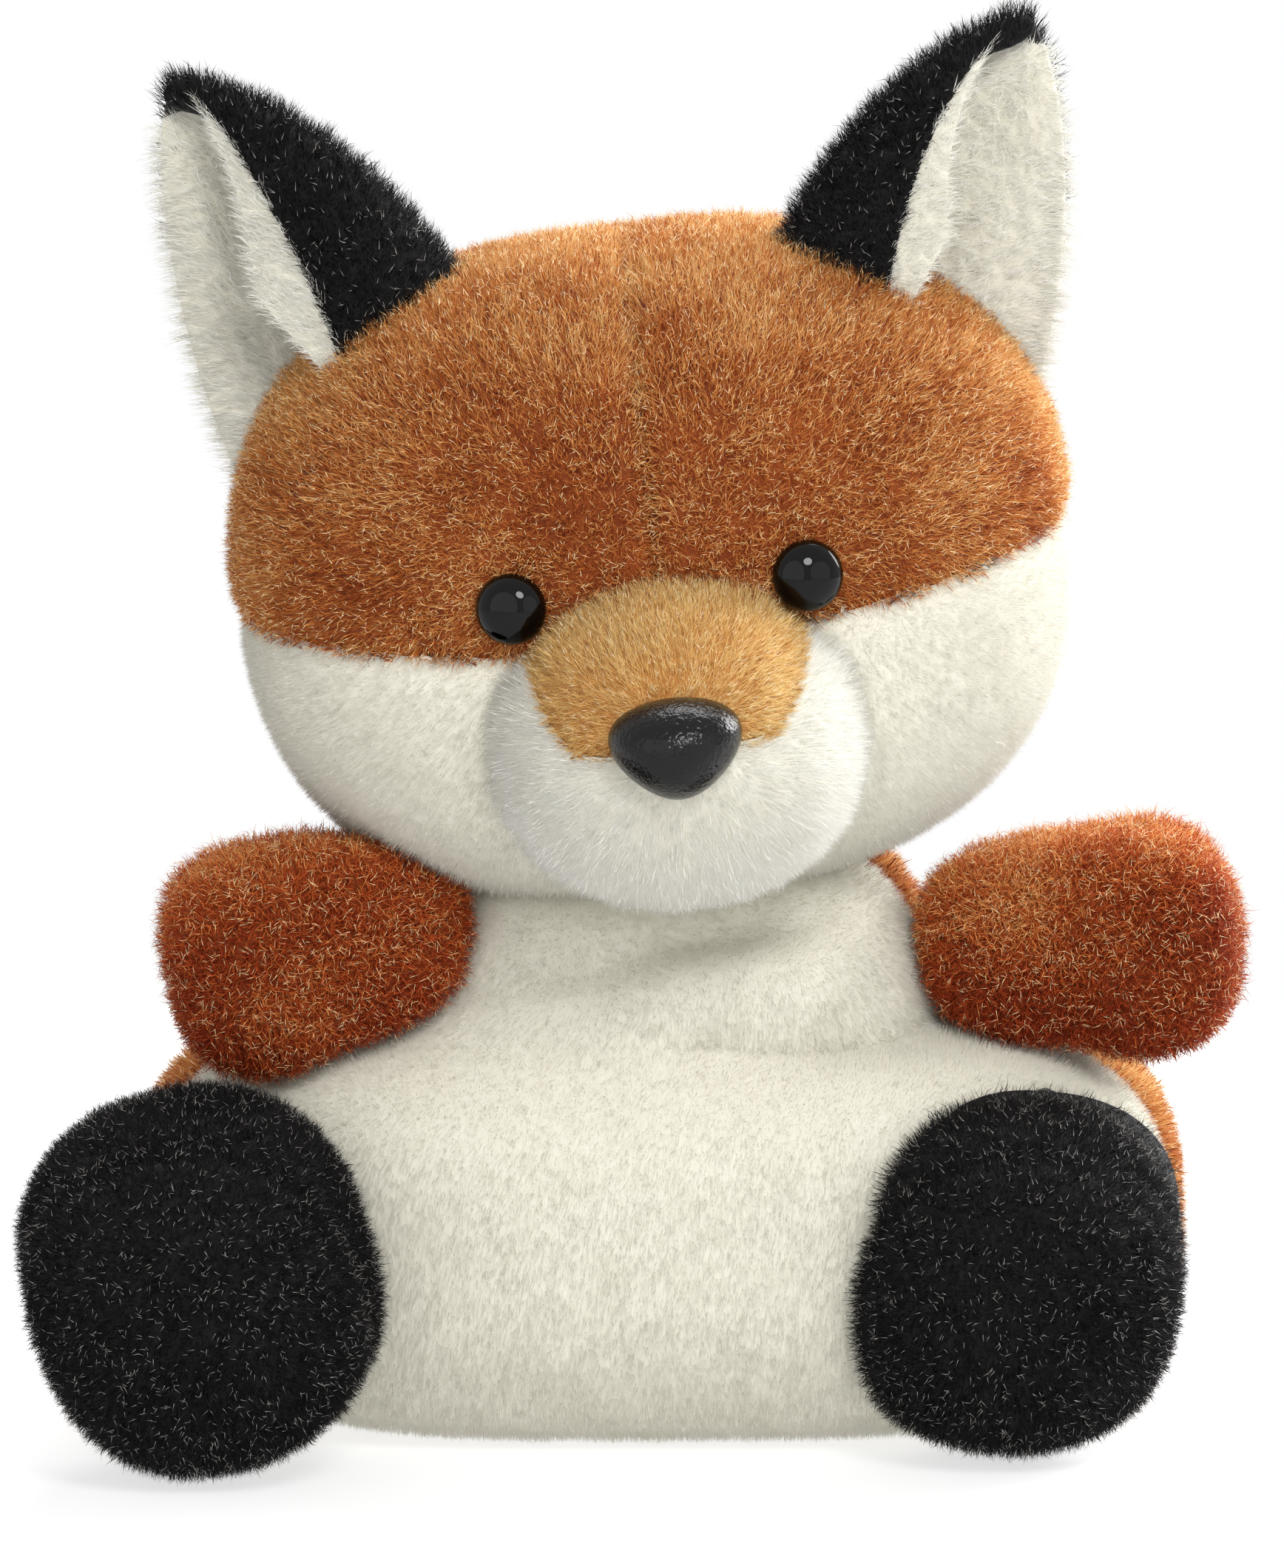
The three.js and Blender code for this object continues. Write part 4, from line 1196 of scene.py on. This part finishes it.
# Fillings. Loose polyester fibre in the head, muzzle, neck, chest, arms and tail, and woven bags
# of pellets in the seat and feet. All are hidden by the covers.
def filling_material(name, shade, light, size, depth):
    """Cloth or fibre with lumps under it."""
    material = cloth_material(name, shade, light)
    tree = material.node_tree
    shader = tree.nodes["Principled BSDF"]
    place = add_node(tree, "TexCoord")
    grains = add_node(tree, "TexVoronoi", {"Vector": place.outputs["Object"], "Scale": size})
    bump = add_node(tree, "Bump", {
        "Height": grains.outputs["Distance"], "Strength": 0.7, "Distance": depth,
    })
    tree.links.new(bump.outputs["Normal"], shader.inputs["Normal"])
    return material


fibrefill = filling_material("fibrefill", (0.8, 0.79, 0.76), (0.92, 0.91, 0.89), 300.0, 0.001)
pellet_cloth = filling_material(
    "pellet_cloth", (0.6, 0.59, 0.54), (0.74, 0.73, 0.68), 420.0, 0.0008,
)
LOFT_SIZE, LOFT_DEPTH, LOFT_SEED = 3.5, 0.25, 19
VOXEL, SOFTENING = 0.0011, 6
for node, body, slot in (
    ("head_filling", "head", "fibrefill"), ("muzzle_filling", "head", "fibrefill"),
    ("neck_core", "neck", "fibrefill"), ("chest_filling", "body", "fibrefill"),
    ("pellet_bag", "body", "pellet_cloth"), ("arm_left_filling", "arm_left", "fibrefill"),
    ("arm_right_filling", "arm_right", "fibrefill"), ("tail_filling", "tail", "fibrefill"),
    ("foot_left_filling", "foot_left", "pellet_cloth"),
    ("foot_right_filling", "foot_right", "pellet_cloth"),
):
    loose = frame["nodes"][node].copy()
    loose.data = frame["nodes"][node].data.copy()
    loose.name = f"{node}_stuffing"
    for key in list(loose.keys()):
        del loose[key]
    loose.parent = None
    bpy.context.scene.collection.objects.link(loose)
    loose.data.materials.clear()
    loose.data.materials.append(fibrefill if slot == "fibrefill" else pellet_cloth)
    remesh = loose.modifiers.new("even", "REMESH")
    remesh.mode = "VOXEL"
    remesh.voxel_size = VOXEL
    remesh.use_smooth_shade = True
    soften = loose.modifiers.new("soften", "SMOOTH")
    soften.iterations = SOFTENING
    fresh = bpy.data.meshes.new_from_object(loose.evaluated_get(
        bpy.context.evaluated_depsgraph_get()))
    loose.modifiers.clear()
    loose.data = fresh
    co = np.empty(len(fresh.vertices) * 3)
    fresh.vertices.foreach_get("co", co)
    co = co.reshape(-1, 3)
    out = np.empty(len(fresh.vertices) * 3)
    fresh.vertex_normals.foreach_get("vector", out)
    dent = LOFT_DEPTH + LOFT_DEPTH * lumps(co / MILLIMETRE, LOFT_SIZE, LOFT_SEED)
    co = co - out.reshape(-1, 3) * dent[:, None] * MILLIMETRE
    fresh.vertices.foreach_set("co", co.reshape(-1))
    fresh.update()
    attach(loose, body)
    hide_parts(node)


# Floor. A plain pale sheet that reaches past the picture's sides. It glows a little, so that it
# comes out white and only the toy's soft shadow shows on it.
FLOOR_SIDE, FLOOR_FRONT, FLOOR_BACK = 0.5, 0.6, 0.2
FLOOR_GREY, FLOOR_GLOW = 0.45, 0.68
floor_mesh = bpy.data.meshes.new("floor")
floor_mesh.from_pydata([
    (-FLOOR_SIDE, -FLOOR_FRONT, 0), (FLOOR_SIDE, -FLOOR_FRONT, 0),
    (FLOOR_SIDE, FLOOR_BACK, 0), (-FLOOR_SIDE, FLOOR_BACK, 0),
], [], [(0, 1, 2, 3)])
floor = bpy.data.objects.new("floor", floor_mesh)
bpy.context.scene.collection.objects.link(floor)
floor_material = bpy.data.materials.new("floor_sheet")
floor_material.use_nodes = True
tree = floor_material.node_tree
sheet = tree.nodes["Principled BSDF"]
sheet.inputs["Base Color"].default_value = (*[FLOOR_GREY] * 3, 1)
sheet.inputs["Roughness"].default_value = 1.0
sheet.inputs["Specular IOR Level"].default_value = 0.0
glow = add_node(tree, "Emission", {"Strength": FLOOR_GLOW, "Color": (1, 1, 1, 1)})
both = add_node(tree, "AddShader", {0: sheet.outputs[0], 1: glow.outputs[0]})
tree.links.new(both.outputs[0], tree.nodes["Material Output"].inputs["Surface"])
floor_mesh.materials.append(floor_material)

# Light. A lamp in front, high at the right, fills low at the left and at the right, and two
# strong soft ones behind, above and at the right. The surround is even and pale.
SURROUND, LAMPS_AIM = 0.42, (0, 0, 0.06)
world = bpy.data.worlds.new("surround")
bpy.context.scene.world = world
world.use_nodes = True
tree = world.node_tree
path = add_node(tree, "LightPath")
seen = add_node(tree, "Math", {
    0: path.outputs["Is Camera Ray"], 1: path.outputs["Is Glossy Ray"],
}, operation="MAXIMUM")
seen = add_node(tree, "Math", {
    0: seen.outputs[0], 1: path.outputs["Is Transmission Ray"],
}, operation="MAXIMUM")
level = add_node(tree, "MapRange", {"Value": seen.outputs[0], "To Min": SURROUND, "To Max": 1.0})
tree.nodes["Background"].inputs["Color"].default_value = (1, 1, 1, 1)
tree.links.new(level.outputs[0], tree.nodes["Background"].inputs["Strength"])


def lamp(name, at, size, power):
    """A round soft lamp that faces the toy."""
    data = bpy.data.lights.new(name, "AREA")
    data.shape = "DISK"
    data.size = size
    data.energy = power
    light = bpy.data.objects.new(name, data)
    light.location = at
    away = Vector(at) - Vector(LAMPS_AIM)
    light.rotation_euler = away.to_track_quat("Z", "Y").to_euler()
    bpy.context.scene.collection.objects.link(light)


lamp("front_lamp", (0.12, -0.50, 0.42), 0.2, 1.85)
lamp("left_lamp", (-0.30, -0.58, 0.14), 0.8, 1.3)
lamp("right_lamp", (0.45, -0.50, 0.15), 0.6, 0.6)
lamp("top_lamp", (0.10, 0.35, 0.55), 0.5, 4.0)
lamp("side_lamp", (0.50, 0.30, 0.30), 0.4, 5.2)

# Camera. It stands ten degrees above the toy and square to its face, with a long lens, and its
# frame is a little taller than the toy.
camera_data = bpy.data.cameras.new("camera")
camera = bpy.data.objects.new("camera", camera_data)
bpy.context.scene.collection.objects.link(camera)
bpy.context.scene.camera = camera
CAMERA_DISTANCE, CAMERA_RISE, FRAME_HEIGHT, SENSOR_HEIGHT = 2.0, 10.0, 0.141, 36
tilt = np.radians(CAMERA_RISE)
aim_at = np.array([-0.00146, 0, 0.05666 / np.cos(tilt)])
camera.location = aim_at + CAMERA_DISTANCE * np.array([0, -np.cos(tilt), np.sin(tilt)])
camera.rotation_euler = (np.pi / 2 - tilt, 0, 0)
camera_data.sensor_fit = "VERTICAL"
camera_data.sensor_height = SENSOR_HEIGHT
camera_data.lens = SENSOR_HEIGHT * CAMERA_DISTANCE / FRAME_HEIGHT
camera_data.clip_end = 20
bpy.context.scene.view_settings.view_transform = "Standard"
